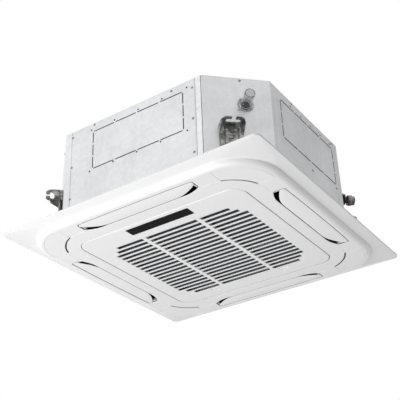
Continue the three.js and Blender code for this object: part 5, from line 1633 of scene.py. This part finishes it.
@dataclass
class Studio:
    """Plain soft light, a pale floor far below the hanging unit, and the photograph's viewing angle."""

    azimuth: float = math.radians(33.15)
    elevation: float = math.radians(-29.84)
    roll: float = math.radians(-2.28)
    distance: float = 2.8378
    shift: Place = (-0.02727, 0.15049)  # to the right and up, in metres
    lens: float = 76.996
    target: tuple[float, float, float] = (0.0, 0.0, 0.1)
    ambient: float = 0.46
    back_shade: float = 0.55
    floor_level: float = -2.4
    floor_reach: float = 12.0

    def camera(self) -> None:
        """Places the camera.

        It looks at the origin from azimuth and elevation, is turned about its own axis by roll and then
        moved along its own right and up by shift.
        """
        a, e, r = self.azimuth, self.elevation, self.roll
        back = np.array([math.sin(a) * math.cos(e), -math.cos(a) * math.cos(e), math.sin(e)])
        right = np.cross(-back, [0.0, 0.0, 1.0])
        right /= np.linalg.norm(right)
        up = np.cross(right, -back)
        across = right * math.cos(r) + up * math.sin(r)
        upward = up * math.cos(r) - right * math.sin(r)
        spot = back * self.distance + across * self.shift[0] + upward * self.shift[1]
        lens = bpy.data.cameras.new("camera")
        lens.lens = self.lens
        lens.clip_end = 50.0
        camera = in_scene("camera", lens)
        camera.matrix_world = self.placed((across, upward, back), spot)
        bpy.context.scene.camera = camera

    @staticmethod
    def placed(axes: Sequence[Array], place: Sequence[float]) -> Matrix:
        """World matrix of something with those three axes at that place."""
        rows = [[*row, at] for row, at in zip(np.stack(axes, axis=1), place)]
        return Matrix([*rows, [0, 0, 0, 1]])

    def lamp(self, name: str, place: tuple[float, float, float], size: float, power: float) -> None:
        """Adds a square area light that looks at the unit's middle."""
        light = bpy.data.lights.new(name, "AREA")
        light.size = size
        light.energy = power
        away = np.array(place) - np.array(self.target)
        away /= np.linalg.norm(away)
        right = np.cross([0.0, 0.0, 1.0], away)
        right /= np.linalg.norm(right)
        in_scene(name, light).matrix_world = self.placed((right, np.cross(away, right), away), place)

    def dark_back(self, web: Web) -> Value:
        """Darkness that grows towards the upper back of the studio, seen only in reflections."""
        place = web.node("ShaderNodeTexCoord", {}, {}, "Generated")
        across, upward = (web.node("ShaderNodeSeparateXYZ", {}, {0: place}, which) for which in (1, 2))
        return across.over(0.3, 0.95) * upward.over(0.1, 0.5) * self.back_shade

    def world(self) -> None:
        """White to the camera, in reflections and through glass; a plain grey for the rest of the light."""
        world = bpy.data.worlds.new("studio")
        bpy.context.scene.world = world
        web = Web(world)
        camera, glossy, through = (
            web.node("ShaderNodeLightPath", {}, {}, f"Is {kind} Ray")
            for kind in ("Camera", "Glossy", "Transmission")
        )
        seen = camera.most(glossy).most(through)
        level = seen * (1.0 - self.ambient) + self.ambient
        level = level * (1.0 - self.dark_back(web) * glossy)
        light = web.node("ShaderNodeBackground", {}, {"Color": (1.0, 1.0, 1.0), "Strength": level})
        output = web.tree.nodes.new("ShaderNodeOutputWorld")
        web.tree.links.new(light.socket, output.inputs[0])

    def floor(self) -> None:
        """Adds a pale floor."""
        mesh = bpy.data.meshes.new("floor")
        corners = block(0.0, 0.0, self.floor_reach, self.floor_reach)
        mesh.from_pydata(at_level(corners, self.floor_level).tolist(), [], [(0, 1, 2, 3)])
        made = in_scene("floor", mesh)
        paint = Paint("pale_floor")
        paint.set(Base_Color=(0.86, 0.86, 0.86), Roughness=0.9)
        mesh.materials.append(paint.material)

    def build(self) -> None:
        """Sets up the camera, the light and the floor."""
        bpy.context.scene.view_settings.view_transform = "Standard"
        self.camera()
        self.world()
        self.floor()
        self.lamp("key_light", (-1.9, -3.8, -1.5), 2.4, 114.0)
        self.lamp("under_light", (-0.5, -0.6, -2.2), 2.0, 25.0)


# ------------------------------------------------------------------ the whole


def dress_solids() -> None:
    """Gives every solid that still shows the finish of its slot."""
    for part in frame["record"]["subparts"]:
        materials = frame["nodes"][part["node"]].data.materials
        materials.clear()
        materials.append(SLOT_LOOKS[part["material_slot"]].value.material())


def main() -> None:
    """Builds the studio and the unit's pieces in order."""
    logging.basicConfig(level=logging.INFO, format="%(name)s: %(message)s")
    Studio().build()
    dress_solids()
    parts = [Panel(), Grille(), *(HangerBracket(corner) for corner in Corner), DrainStub()]
    parts += [
        FlareNut("gas", -98.0, 150.0, 36.0, 26.0, 44.0),
        FlareNut("liquid", -66.0, 184.0, 22.0, 19.0, 34.0),
        CasingFasteners(),
    ]
    for part in parts:
        LOG.info("building %s", type(part).__name__)
        part.build()


if __name__ == "__main__":
    main()
